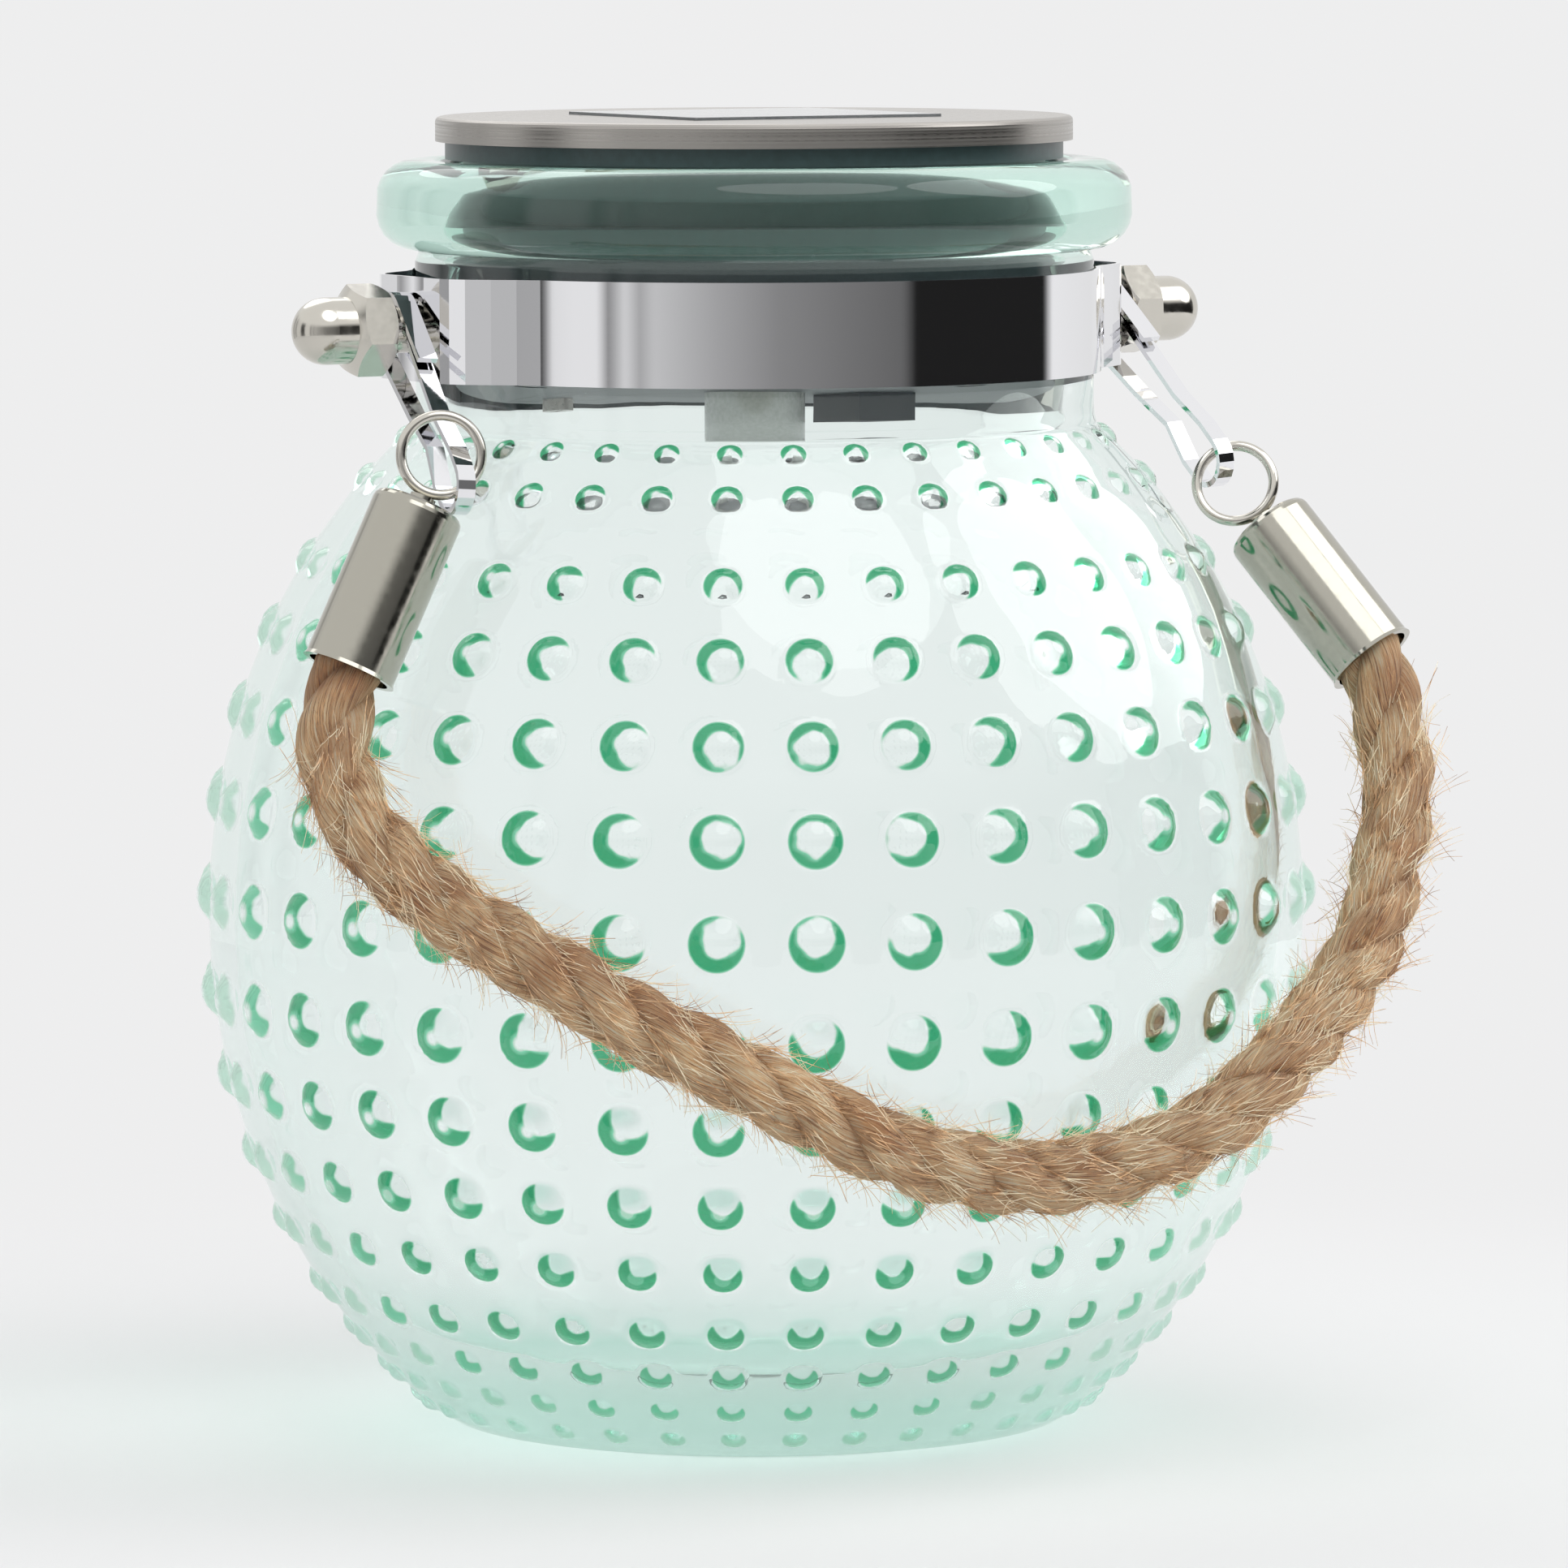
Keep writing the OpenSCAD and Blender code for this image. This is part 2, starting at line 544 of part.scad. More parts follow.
module base_cover() {
  tray = [tray_in[0] + 2 * tray_wall, tray_in[1] + 2 * tray_wall];
  color(dark_plastic) rotate([0, 0, module_turn]) difference() {
    union() {
      translate([0, 0, cover_z]) cylinder(r = drum_r, h = cover_t, $fn = 96);
      translate([-tray[0] / 2, battery_y - tray[1] / 2, cover_z])
        cube([tray[0], tray[1], tray_top_z - cover_z]);
      for (x = [-post_x, post_x]) {
        translate([x, post_y, cover_z]) cylinder(r = post_r, h = board_z - cover_z, $fn = 32);
      }
      translate([-boss_size[0] / 2, switch_y - boss_size[1] / 2, cover_z - boss_h])
        cube([boss_size[0], boss_size[1], boss_h + cover_t]);
    }
    translate([-tray_in[0] / 2, battery_y - tray_in[1] / 2, cover_z - cut])
      cube([tray_in[0], tray_in[1], tray_top_z - tray_wall - cover_z + cut]);
    translate([-door_size[0] / 2 - 2 * gap, battery_y - door_size[1] / 2 - gap, cover_z - cut])
      cube([door_size[0] + door_tab + 4 * gap, door_size[1] + 2 * gap, 1 + cut]);
    translate([0, 0, cover_z - cut]) cylinder(r = lens_r + gap, h = cover_t + 2 * cut, $fn = 64);
    translate([-(knob_size[0] + switch_travel) / 2 - 2 * gap, switch_y - knob_size[1] / 2 - 2 * gap,
      cover_z - boss_h - cut])
      cube([knob_size[0] + switch_travel + 4 * gap, knob_size[1] + 4 * gap, boss_h + cover_t + 2 * cut]);
    screw_places() translate([0, 0, cover_z - cut]) cylinder(r = 1, h = cover_t + 2 * cut, $fn = 24);
    screw_places() translate([0, 0, cover_z - cut])
      cylinder(r = screw_head_r + gap, h = 1.1 + cut, $fn = 32);
    translate([door_size[0] / 2 + door_tab / 2, battery_y, cover_z - cut])
      cylinder(r = screw_r + fit, h = cover_t + 2 * cut, $fn = 24);
  }
}

module screw(shank) {
  difference() {
    union() {
      cylinder(r = screw_head_r, h = 1, $fn = 32);
      cylinder(r = screw_r, h = 1 + shank, $fn = 24);
    }
    for (a = [0, 90]) rotate([0, 0, a]) translate([-1.2, -0.2, -cut]) cube([2.4, 0.4, 0.5 + cut]);
  }
}

module cover_screws() {
  color(steel) rotate([0, 0, module_turn]) screw_places() translate([0, 0, cover_z + 0.1])
    screw(cover_screw_len);
}

module circuit_board() {
  color([0.1, 0.4, 0.2]) rotate([0, 0, module_turn])
    translate([-board_size[0] / 2, board_y - board_size[1] / 2, board_z]) cube(board_size);
}

module cell_leads() {
  low_z = board_z + board_size[2];
  color([0.7, 0.1, 0.1]) rotate([0, 0, module_turn]) lead_places()
    translate([0, 0, low_z]) cylinder(r = lead_r, h = pocket_z - low_z, $fn = 24);
}

module led() {
  dome_r = 2.5;
  low_z = cover_z + 0.4;
  color([0.95, 0.92, 0.7]) union() {
    translate([0, 0, low_z]) cylinder(r = dome_r, h = board_z - low_z - 1, $fn = 40);
    translate([0, 0, low_z]) sphere(r = dome_r, $fn = 40);
    translate([0, 0, board_z - 1]) cylinder(r = dome_r + 0.4, h = 1, $fn = 40);
  }
}

module led_lens() {
  color([0.85, 0.88, 0.86, 0.8]) difference() {
    union() {
      translate([0, 0, cover_z - lens_len]) cylinder(r = lens_r, h = lens_len + cover_t, $fn = 64);
      translate([0, 0, drum_z]) cylinder(r = lens_flange_r, h = 1, $fn = 64);
    }
    translate([0, 0, cover_z - lens_len + lens_wall])
      cylinder(r = lens_r - lens_wall, h = lens_len + cover_t + cut, $fn = 64);
  }
}

module battery() {
  color([0.2, 0.5, 0.3]) rotate([0, 0, module_turn]) translate([battery_x, battery_y, battery_z])
    rotate([0, 90, 0]) union() {
      translate([0, 0, -battery_l / 2]) cylinder(d = battery_d, h = battery_l - 1, $fn = 64);
      translate([0, 0, battery_l / 2 - 1]) cylinder(d = 3.8, h = 1, $fn = 32);
    }
}

module battery_spring() {
  start_x = -tray_in[0] / 2 + spring_wire / 2 + gap;
  span = battery_x - battery_l / 2 - spring_wire / 2 - gap - start_x;
  steps = 14 * spring_turns;
  color(steel) rotate([0, 0, module_turn]) translate([start_x, battery_y, battery_z])
    sweep([for (i = [0:steps]) let (a = i * 360 / 14)
      [span * i / steps, spring_r * cos(a), spring_r * sin(a)]], spring_wire / 2, 6);
}

module battery_plate() {
  end_x = battery_x + battery_l / 2;
  color(steel) rotate([0, 0, module_turn]) translate([end_x, battery_y - 4, battery_z - 4])
    cube([tray_in[0] / 2 - end_x, 8, 8]);
}

module battery_door() {
  color(dark_plastic) rotate([0, 0, module_turn]) difference() {
    union() {
      translate([-door_size[0] / 2, battery_y - door_size[1] / 2, cover_z])
        cube([door_size[0] + door_tab, door_size[1], door_t]);
      for (x = [-12, 0, 12]) translate([x, battery_y - 1, cover_z])
        cube([1.2, 2, battery_z - battery_d / 2 - gap - cover_z]);
    }
    translate([door_size[0] / 2 + door_tab / 2, battery_y, cover_z - cut])
      cylinder(r = screw_r + fit, h = 1 + 2 * cut, $fn = 24);
  }
}

module door_screw() {
  color(steel) rotate([0, 0, module_turn])
    translate([door_size[0] / 2 + door_tab / 2, battery_y, cover_z - 1]) screw(door_screw_len);
}

module switch_body() {
  low_z = cover_z + cover_t + 1.3;
  color([0.75, 0.76, 0.78]) rotate([0, 0, module_turn])
    translate([-5, switch_y - 2.2, low_z]) cube([10, 4.4, board_z - low_z]);
}

module switch_slider() {
  low_z = cover_z - boss_h + 0.3;
  x = -(knob_size[0] + switch_travel) / 2;
  color([0.9, 0.9, 0.88]) rotate([0, 0, module_turn])
    translate([x, switch_y - knob_size[1] / 2, low_z])
    cube([knob_size[0], knob_size[1], cover_z + cover_t + 1.2 - low_z]);
}

glass_jar();
neck_strap();
left_bolt();
right_bolt();
left_cap_nut();
right_cap_nut();
left_clip();
right_clip();
left_ring();
right_ring();
left_end_cap();
right_end_cap();
rope();
lid_cap();
solar_window();
solar_cell();
lid_gasket();
module_housing();
base_cover();
cover_screws();
circuit_board();
cell_leads();
led();
led_lens();
battery();
battery_spring();
battery_plate();
battery_door();
door_screw();
switch_body();
switch_slider();
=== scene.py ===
# %% [markdown]
# # A dimpled glass jar lantern
# The lantern is a round glass jar covered in small bumps. A steel lid with a solar light is pushed
# into its neck, and a thick jute rope hangs from two bolts in a chrome strap. The imported model
# gives every solid piece its true place, so this lesson adds what the eye looks for: glass with
# real bumps, twisted jute, polished strap and clips, and a finish on each small part inside.

# %% Load the imported model
import json
import math
import random

import bmesh
import bpy
from mathutils import Matrix, Quaternion, Vector, noise


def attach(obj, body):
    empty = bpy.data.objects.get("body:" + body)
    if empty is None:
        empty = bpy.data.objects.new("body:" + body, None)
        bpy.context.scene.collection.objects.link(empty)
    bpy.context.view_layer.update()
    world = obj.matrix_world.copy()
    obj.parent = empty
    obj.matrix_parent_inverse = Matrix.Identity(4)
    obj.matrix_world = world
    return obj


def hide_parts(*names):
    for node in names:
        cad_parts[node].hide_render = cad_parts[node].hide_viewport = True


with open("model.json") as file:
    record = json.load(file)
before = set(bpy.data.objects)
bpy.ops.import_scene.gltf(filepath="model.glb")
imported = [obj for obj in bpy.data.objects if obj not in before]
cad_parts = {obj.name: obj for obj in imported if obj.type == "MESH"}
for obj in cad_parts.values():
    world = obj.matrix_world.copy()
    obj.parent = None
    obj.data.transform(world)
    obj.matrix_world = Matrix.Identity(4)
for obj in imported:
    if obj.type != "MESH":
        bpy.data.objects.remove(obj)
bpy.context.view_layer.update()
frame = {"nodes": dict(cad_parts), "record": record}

# %% [markdown]
# ## Camera
# A long lens from about 1.26 m keeps the jar's round outline almost flat, as a product picture
# does. The camera is placed first, because the hanging rope is judged by what it sees. It looks
# slightly down on the lid, and the jar is turned so that one bolt is nearer than the other.

# %% Camera
LOOK_AT = Vector((0.00308, -0.00165, 0.07938))
TURN = math.radians(28.2)
RISE = math.radians(5.31)
ROLL = math.radians(-0.146)
DISTANCE = 1.261
view_line = Vector((math.cos(RISE) * math.sin(TURN), math.cos(RISE) * math.cos(TURN),
                    -math.sin(RISE)))

lens = bpy.data.cameras.new("product_camera")
lens.lens = 232.9
lens.sensor_width = 36.0
camera = bpy.data.objects.new("product_camera", lens)
camera.location = LOOK_AT - DISTANCE * view_line
camera.rotation_mode = "QUATERNION"
camera.rotation_quaternion = view_line.to_track_quat("-Z", "Y") @ Quaternion((0, 0, 1), ROLL)
bpy.context.scene.collection.objects.link(camera)
bpy.context.scene.camera = camera
bpy.context.scene.view_settings.view_transform = "Standard"
print("camera at", [round(v, 3) for v in camera.location])

# %% [markdown]
# ## A workshop for pieces and finishes
# Each new piece starts as a bmesh, which is Blender's editable mesh. One helper turns it into an
# object that rides on its body. Smooth shading is set on the faces, so polished metal and glass
# don't show their facets. A finish is a small network of nodes, and the other helpers add and join
# those nodes in one line each.

# %% Helpers for pieces
def to_piece(name, bm, body, finish, slot, *nodes):
    """Makes an object of a bmesh, gives it a finish and puts it on a body in place of the nodes."""
    mesh = bpy.data.meshes.new(name)
    for face in bm.faces:
        face.smooth = True
    bm.to_mesh(mesh)
    bm.free()
    piece = bpy.data.objects.new(name, mesh)
    bpy.context.scene.collection.objects.link(piece)
    mesh.materials.append(finish)
    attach(piece, body)
    if nodes:
        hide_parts(*nodes)
    print(name, "faces", len(mesh.polygons))
    return piece


# %% Helpers for finishes
def new_finish(name):
    """A new material, its node tree and its principled shader."""
    finish = bpy.data.materials.new(name)
    finish.use_nodes = True
    tree = finish.node_tree
    shader = next(n for n in tree.nodes if n.type == "BSDF_PRINCIPLED")
    return finish, tree, shader


def add(tree, kind, **values):
    """Adds one node; values are its settings, or inputs where the name starts with in_."""
    node = tree.nodes.new(kind)
    for key, value in values.items():
        if key.startswith("in_"):
            node.inputs[key[3:].replace("_", " ")].default_value = value
        else:
            setattr(node, key, value)
    return node


def join(tree, from_node, out_name, to_node, in_name):
    """Links an output to an input; both may be given by name or by number."""
    tree.links.new(from_node.outputs[out_name], to_node.inputs[in_name])


def combine(tree, operation, first, first_out, second, second_out):
    """A Math node that works on two linked values."""
    node = add(tree, "ShaderNodeMath", operation=operation)
    join(tree, first, first_out, node, 0)
    join(tree, second, second_out, node, 1)
    return node


def combine_number(tree, operation, first, first_out, number):
    """A Math node that works on one linked value and a number."""
    node = add(tree, "ShaderNodeMath", operation=operation)
    join(tree, first, first_out, node, 0)
    node.inputs[1].default_value = number
    return node


def multiply_colours(tree, first, first_out, second):
    """A colour multiplied by a second node's Color; the result is output 2."""
    node = add(tree, "ShaderNodeMix", data_type="RGBA", blend_type="MULTIPLY", in_Factor=1.0)
    join(tree, first, first_out, node, 6)
    join(tree, second, "Color", node, 7)
    return node


def mix_shaders(tree, share, share_out, first, second):
    """One shader where the share is 0 and the other where it is 1."""
    node = add(tree, "ShaderNodeMixShader")
    join(tree, share, share_out, node, "Fac")
    join(tree, first, 0, node, 1)
    join(tree, second, 0, node, 2)
    return node


def turn_to_world(tree, normal, normal_out):
    """A normal given in the object's own directions, turned to the world's for a shader."""
    node = add(tree, "ShaderNodeVectorTransform", vector_type="NORMAL",
               convert_from="OBJECT", convert_to="WORLD")
    join(tree, normal, normal_out, node, "Vector")
    return node


def object_place(tree, scale=(1, 1, 1)):
    """Object coordinates, stretched by a Mapping node."""
    place = add(tree, "ShaderNodeTexCoord")
    mapping = add(tree, "ShaderNodeMapping")
    mapping.inputs["Scale"].default_value = scale
    join(tree, place, "Object", mapping, "Vector")
    return mapping


def ramp(tree, stops):
    """A colour ramp from a list of (place, colour)."""
    node = add(tree, "ShaderNodeValToRGB")
    node.color_ramp.interpolation = "LINEAR"
    while len(node.color_ramp.elements) < len(stops):
        node.color_ramp.elements.new(0.5)
    for element, (place, colour) in zip(node.color_ramp.elements, stops):
        element.position = place
        element.color = (*colour, 1)
    return node


def grey_ramp(tree, stops):
    """A colour ramp from a list of (place, level), for plain numbers."""
    return ramp(tree, [(place, (level,) * 3) for place, level in stops])


def bump_from(tree, shader, height_node, out_name, strength, distance):
    """Fine relief from a texture, by a Bump node on the shader's normal."""
    bump = add(tree, "ShaderNodeBump", in_Strength=strength, in_Distance=distance)
    join(tree, height_node, out_name, bump, "Height")
    join(tree, bump, "Normal", shader, "Normal")


def noise_at(tree, place, scale, detail, **values):
    """A noise texture at the place that a Mapping node gives."""
    node = add(tree, "ShaderNodeTexNoise", in_Scale=scale, in_Detail=detail, **values)
    join(tree, place, "Vector", node, "Vector")
    return node


# %% [markdown]
# ## The rope's route
# The handle is a jute rope with a metal cap on each end. It hangs in front of the jar and rests
# against it, so its route is a smooth curve round the glass. The same points that the solid model
# follows are repeated here in metres, and a spline through them gives places 0.8 mm apart.

# %% Route of the rope
ROPE_ROUTE = [
    (-0.0574, -0.0218, 0.1164), (-0.062, -0.022, 0.1073), (-0.0666, -0.0222, 0.0981),
    (-0.0695, -0.024, 0.091), (-0.07, -0.028, 0.0835), (-0.068, -0.034, 0.077),
    (-0.063, -0.0425, 0.0705), (-0.0565, -0.0505, 0.065), (-0.049, -0.057, 0.0595),
    (-0.0405, -0.063, 0.054), (-0.0305, -0.067, 0.0485), (-0.02, -0.07, 0.043),
    (-0.009, -0.0715, 0.0395), (0.002, -0.0718, 0.0383), (0.0135, -0.0713, 0.0395),
    (0.0245, -0.0698, 0.043), (0.035, -0.067, 0.0485), (0.046, -0.061, 0.055),
    (0.0545, -0.0565, 0.062), (0.0605, -0.0515, 0.071), (0.064, -0.048, 0.079),
    (0.065, -0.0445, 0.087), (0.0643, -0.0409, 0.0956), (0.0605, -0.035, 0.1034),
    (0.0569, -0.0294, 0.1109),
]
ROUTE_STEP = 0.0008
FINE_STEPS = 40


def through_points(points, step):
    """Points a step apart on a smooth curve through the given points, and the curve's length."""
    spots = [Vector(p) for p in points]
    spots = [2 * spots[0] - spots[1]] + spots + [2 * spots[-1] - spots[-2]]
    fine = []
    for a, b, c, d in zip(spots, spots[1:], spots[2:], spots[3:]):
        for k in range(FINE_STEPS):
            t = k / FINE_STEPS
            fine.append(0.5 * (2 * b + (c - a) * t + (2 * a - 5 * b + 4 * c - d) * t * t
                               + (3 * b - 3 * c + d - a) * t ** 3))
    fine.append(spots[-2])
    total = sum((q - p).length for p, q in zip(fine, fine[1:]))
    count = round(total / step)
    out, walked, want = [fine[0]], 0.0, total / count
    for p, q in zip(fine, fine[1:]):
        part = (q - p).length
        while part > 0 and walked + part >= want * len(out) and len(out) < count:
            out.append(p.lerp(q, (want * len(out) - walked) / part))
        walked += part
    out.append(fine[-1])
    return out, total


rope_line, rope_length = through_points(ROPE_ROUTE, ROUTE_STEP)
print("rope", round(rope_length, 4), "m long in", len(rope_line), "steps")

# %% [markdown]
# ## Jute finish
# Jute is a dull, golden-brown bast fibre. Its colour runs in streaks along the fibres. Painted shade
# darkens the grooves between strands, where little light gets in. The strands carry their own
# coordinates, one round the yarn and one along it, so the streaks follow the twist instead of the
# object's axes.

# %% Jute finish
def jute_finish():
    """Dull jute: streaks along the yarn, paler and darker patches, and painted shade in the grooves.
    """
    finish, tree, shader = new_finish("jute_strands")
    lay = add(tree, "ShaderNodeAttribute", attribute_name="lay")
    stretch = add(tree, "ShaderNodeMapping")
    stretch.inputs["Scale"].default_value = (5.5, 5.5, 95)
    join(tree, lay, "Vector", stretch, "Vector")
    fibres = noise_at(tree, stretch, 2.4, 6.0, in_Roughness=0.78)
    shade = ramp(tree, [(0.30, (0.08, 0.028, 0.010)), (0.40, (0.42, 0.19, 0.07)),
                        (0.48, (0.92, 0.53, 0.245)), (0.55, (1.0, 0.74, 0.42)),
                        (0.65, (1.0, 0.95, 0.78))])
    join(tree, fibres, "Fac", shade, "Fac")
    patches = noise_at(tree, object_place(tree), 95.0, 2.0)
    patch_shade = ramp(tree, [(0.34, (0.66, 0.50, 0.38)), (0.5, (1.0, 1.0, 1.0))])
    join(tree, patches, "Fac", patch_shade, "Fac")
    patchy = multiply_colours(tree, shade, "Color", patch_shade)
    # Painted shade: the colour darkens towards the floor of the grooves between strands.
    groove = add(tree, "ShaderNodeAttribute", attribute_name="depth")
    painted_groove_shade = ramp(tree, [(0.0, (0.36, 0.22, 0.12)), (0.4, (0.86, 0.8, 0.74)),
                               (1.0, (1.0, 1.0, 1.0))])
    join(tree, groove, "Fac", painted_groove_shade, "Fac")
    grooved = multiply_colours(tree, patchy, 2, painted_groove_shade)
    join(tree, grooved, 2, shader, "Base Color")
    shader.inputs["Roughness"].default_value = 0.85
    shader.inputs["Sheen Weight"].default_value = 0.25
    shader.inputs["Sheen Roughness"].default_value = 0.6
    shader.inputs["Specular IOR Level"].default_value = 0.25
    bump_from(tree, shader, fibres, "Fac", 1.0, 0.0009)
    return finish


def loose_fibre_finish():
    """The same jute for single fibres, which change in tone from one to the next."""
    finish, tree, shader = new_finish("jute_loose_fibres")
    change = noise_at(tree, object_place(tree), 260.0, 1.0)
    shade = ramp(tree, [(0.36, (0.38, 0.18, 0.065)), (0.46, (0.95, 0.59, 0.30)),
                        (0.58, (1.0, 0.87, 0.62))])
    join(tree, change, "Fac", shade, "Fac")
    join(tree, shade, "Color", shader, "Base Color")
    shader.inputs["Roughness"].default_value = 0.7
    shader.inputs["Sheen Weight"].default_value = 0.3
    return finish


jute = jute_finish()
loose_jute = loose_fibre_finish()
print("finishes", jute.name, loose_jute.name)

# %% [markdown]
# ## Twisted strands
# A laid rope is three strands twisted together, and each strand is a bundle of fibres twisted the
# other way. Every strand is a small ring that is extruded along a helix round the rope's route.
# Its radius swells and shrinks a little, because hand-fed jute is never even.

# %% Directions across the rope
def side_frames(line):
    """For each place on a line: the way along it, and two directions across it."""
    across = Vector((0.2, 0.9, 0.3))
    out = []
    for k in range(len(line)):
        along = (line[min(k + 1, len(line) - 1)] - line[max(k - 1, 0)]).normalized()
        across = (across - across.dot(along) * along).normalized()
        out.append((along, across, along.cross(across)))
    return out


rope_frames = side_frames(rope_line)

# %% Strands of the rope
STRANDS = 3
STRAND_R = 0.00262
HELIX_R = 0.00195
LAY_LENGTH = 0.027
YARN_TURN = 0.016
YARNS = 4
STRAND_SIDES = 20
# How much a strand swells, how lumpy it is, and how deep its yarns are marked, of its radius.
SWELL, LUMP, YARN_MARK = 0.06, 0.06, 0.045
# Distance from the rope's middle where the painted groove shade is darkest, and the way from there
# to none.
GROOVE_FLOOR, GROOVE_DEPTH = 0.0026, 0.0016


def strand_places(s):
    """Middle, way along and way outward of one strand at each step of the route."""
    step = rope_length / (len(rope_line) - 1)
    for k, spot in enumerate(rope_line):
        along, u, v = rope_frames[k]
        turn = 2 * math.pi * (k * step / LAY_LENGTH + s / STRANDS)
        out = math.cos(turn) * u + math.sin(turn) * v
        tangent = (along + 2 * math.pi * HELIX_R / LAY_LENGTH
                   * (-math.sin(turn) * u + math.cos(turn) * v)).normalized()
        outward = (out - out.dot(tangent) * tangent).normalized()
        yield k * step, spot, spot + HELIX_R * out, tangent, outward


def lay_yarn(vert, a, s, run, spot, centre, tangent, out, layers):
    """Puts one vertex of a strand on its uneven, yarn-marked outline and notes where it lies."""
    side = tangent.cross(out)
    twist = a + 2 * math.pi * run / YARN_TURN
    swell = 1 + SWELL * noise.noise(Vector((run * 110, s * 7.0, 1.5)))
    lump = LUMP * noise.noise(Vector((math.cos(twist) * 1.6 + 9 * s, math.sin(twist) * 1.6,
                                      run * 160)))
    radius = STRAND_R * (swell + lump + YARN_MARK * math.cos(YARNS * twist + s))
    vert.co = centre + radius * (math.cos(a) * out + math.sin(a) * side)
    vert[layers[0]] = Vector((math.cos(twist) + 3 * s, math.sin(twist), run))
    # How far the vertex lies out of a groove, for the painted groove shade: 0 at the groove's floor.
    depth = ((vert.co - spot).length - GROOVE_FLOOR) / GROOVE_DEPTH
    vert[layers[1]] = min(1.0, max(0.0, depth))


def open_edges(grown):
    """The edges at the open end of a tube that was just extruded."""
    return [e for e in grown if isinstance(e, bmesh.types.BMEdge) and len(e.link_faces) == 1]


def grow_ring(ring, grown):
    """The new ring of vertices in the order of the ring that it was extruded from."""
    new = {v for v in grown if isinstance(v, bmesh.types.BMVert)}
    return [next(e.other_vert(v) for e in v.link_edges if e.other_vert(v) in new) for v in ring]


def build_rope():
    """Three closed strands, each a ring of points swept along its helix."""
    bm = bmesh.new()
    layers = (bm.verts.layers.float_vector.new("lay"), bm.verts.layers.float.new("depth"))
    for s in range(STRANDS):
        ring = bmesh.ops.create_circle(bm, segments=STRAND_SIDES, radius=1.0,
                                       cap_ends=True)["verts"]
        edges = list({e for v in ring for e in v.link_edges})
        for k, place in enumerate(strand_places(s)):
            if k:
                grown = bmesh.ops.extrude_edge_only(bm, edges=edges)["geom"]
                edges = open_edges(grown)
                ring = grow_ring(ring, grown)
            for n, vert in enumerate(ring):
                lay_yarn(vert, 2 * math.pi * n / STRAND_SIDES, s, *place, layers)
        bmesh.ops.contextual_create(bm, geom=edges)
    bmesh.ops.recalc_face_normals(bm, faces=bm.faces)
    return bm


rope = to_piece("jute_rope", build_rope(), "handle", jute, "jute", "rope")

# %% [markdown]
# ## Loose fibres
# Jute is never tidy: the ends of its short fibres stand out of the strands all along the rope. A
# few curled hairs are made first, each a thin three-sided tube. They are then copied many times,
# laid nearly along the strands and lifted at one end. Each has only a few faces, so the rope stays
# light.

# %% Loose fibres
TUFTS = 60
FIBRES_PER_TUFT = 80
HAIR_SHAPES = 16
HAIR_PARTS = 4
# Steps of the route that lie inside the metal end caps, where no fibre can grow.
CAPPED_START, CAPPED_END = 38, 36
FIBRE_GAP = 4e-5
chance = random.Random(12)


def curled_hair(length, curl, radius):
    """A three-sided tapering tube that starts along X and curls away from it."""
    bm = bmesh.new()
    ring = bmesh.ops.create_circle(bm, segments=3, radius=radius, cap_ends=True,
                                   matrix=Matrix.Rotation(math.pi / 2, 4, "Y"))["verts"]
    edges = list({e for v in ring for e in v.link_edges})
    for k in range(HAIR_PARTS):
        grown = bmesh.ops.extrude_edge_only(bm, edges=edges)["geom"]
        ring = [v for v in grown if isinstance(v, bmesh.types.BMVert)]
        edges = open_edges(grown)
        middle = sum((v.co for v in ring), Vector()) / 3
        bmesh.ops.scale(bm, verts=ring, vec=(1, 0.85, 0.85), space=Matrix.Translation(-middle))
        bend = (2 * k + 1) * curl / 4
        bmesh.ops.translate(bm, verts=ring, vec=(length / 4 * math.cos(bend),
                                                 length / 8 * math.sin(bend * 1.7),
                                                 length / 4 * math.sin(bend)))
    bmesh.ops.contextual_create(bm, geom=edges)
    bmesh.ops.recalc_face_normals(bm, faces=bm.faces)
    hair = bpy.data.meshes.new("hair")
    bm.to_mesh(hair)
    bm.free()
    return hair


def lay_fibre(bm, hair, place):
    """Copies one hair onto a strand: nearly along it, its free end lifted a little."""
    _, _, centre, tangent, out = place
    a = chance.uniform(-1.9, 1.9)
    up = (math.cos(a) * out + math.sin(a) * tangent.cross(out)).normalized()
    along = (tangent + chance.uniform(-0.5, 0.35) * tangent.cross(up)
             + chance.choice((0.0, 0.0, 0.05, 0.25)) * up).normalized() * chance.choice((1, 1, -1))
    up = (up - up.dot(along) * along).normalized()
    turn = Matrix((along, up.cross(along), up)).transposed().to_4x4()
    first = len(bm.verts)
    bm.from_mesh(hair)
    bm.verts.ensure_lookup_table()
    matrix = Matrix.Translation(centre + (STRAND_R + FIBRE_GAP) * up) @ turn
    bmesh.ops.transform(bm, matrix=matrix, verts=bm.verts[first:])


def build_fibres():
    """Thousands of copies of a few hairs, gathered tuft by tuft so that each mesh stays small."""
    hairs = [curled_hair(chance.uniform(0.003, 0.008), chance.uniform(0.0, 0.6),
                         chance.uniform(4e-5, 8e-5)) for _ in range(HAIR_SHAPES)]
    places = [place for s in range(STRANDS)
              for place in list(strand_places(s))[CAPPED_START:-CAPPED_END]]
    whole = bmesh.new()
    for _ in range(TUFTS):
        tuft = bmesh.new()
        for _ in range(FIBRES_PER_TUFT):
            lay_fibre(tuft, chance.choice(hairs), chance.choice(places))
        part = bpy.data.meshes.new("tuft")
        tuft.to_mesh(part)
        tuft.free()
        whole.from_mesh(part)
        bpy.data.meshes.remove(part)
    for hair in hairs:
        bpy.data.meshes.remove(hair)
    return whole


to_piece("loose_fibres", build_fibres(), "handle", loose_jute, "jute")

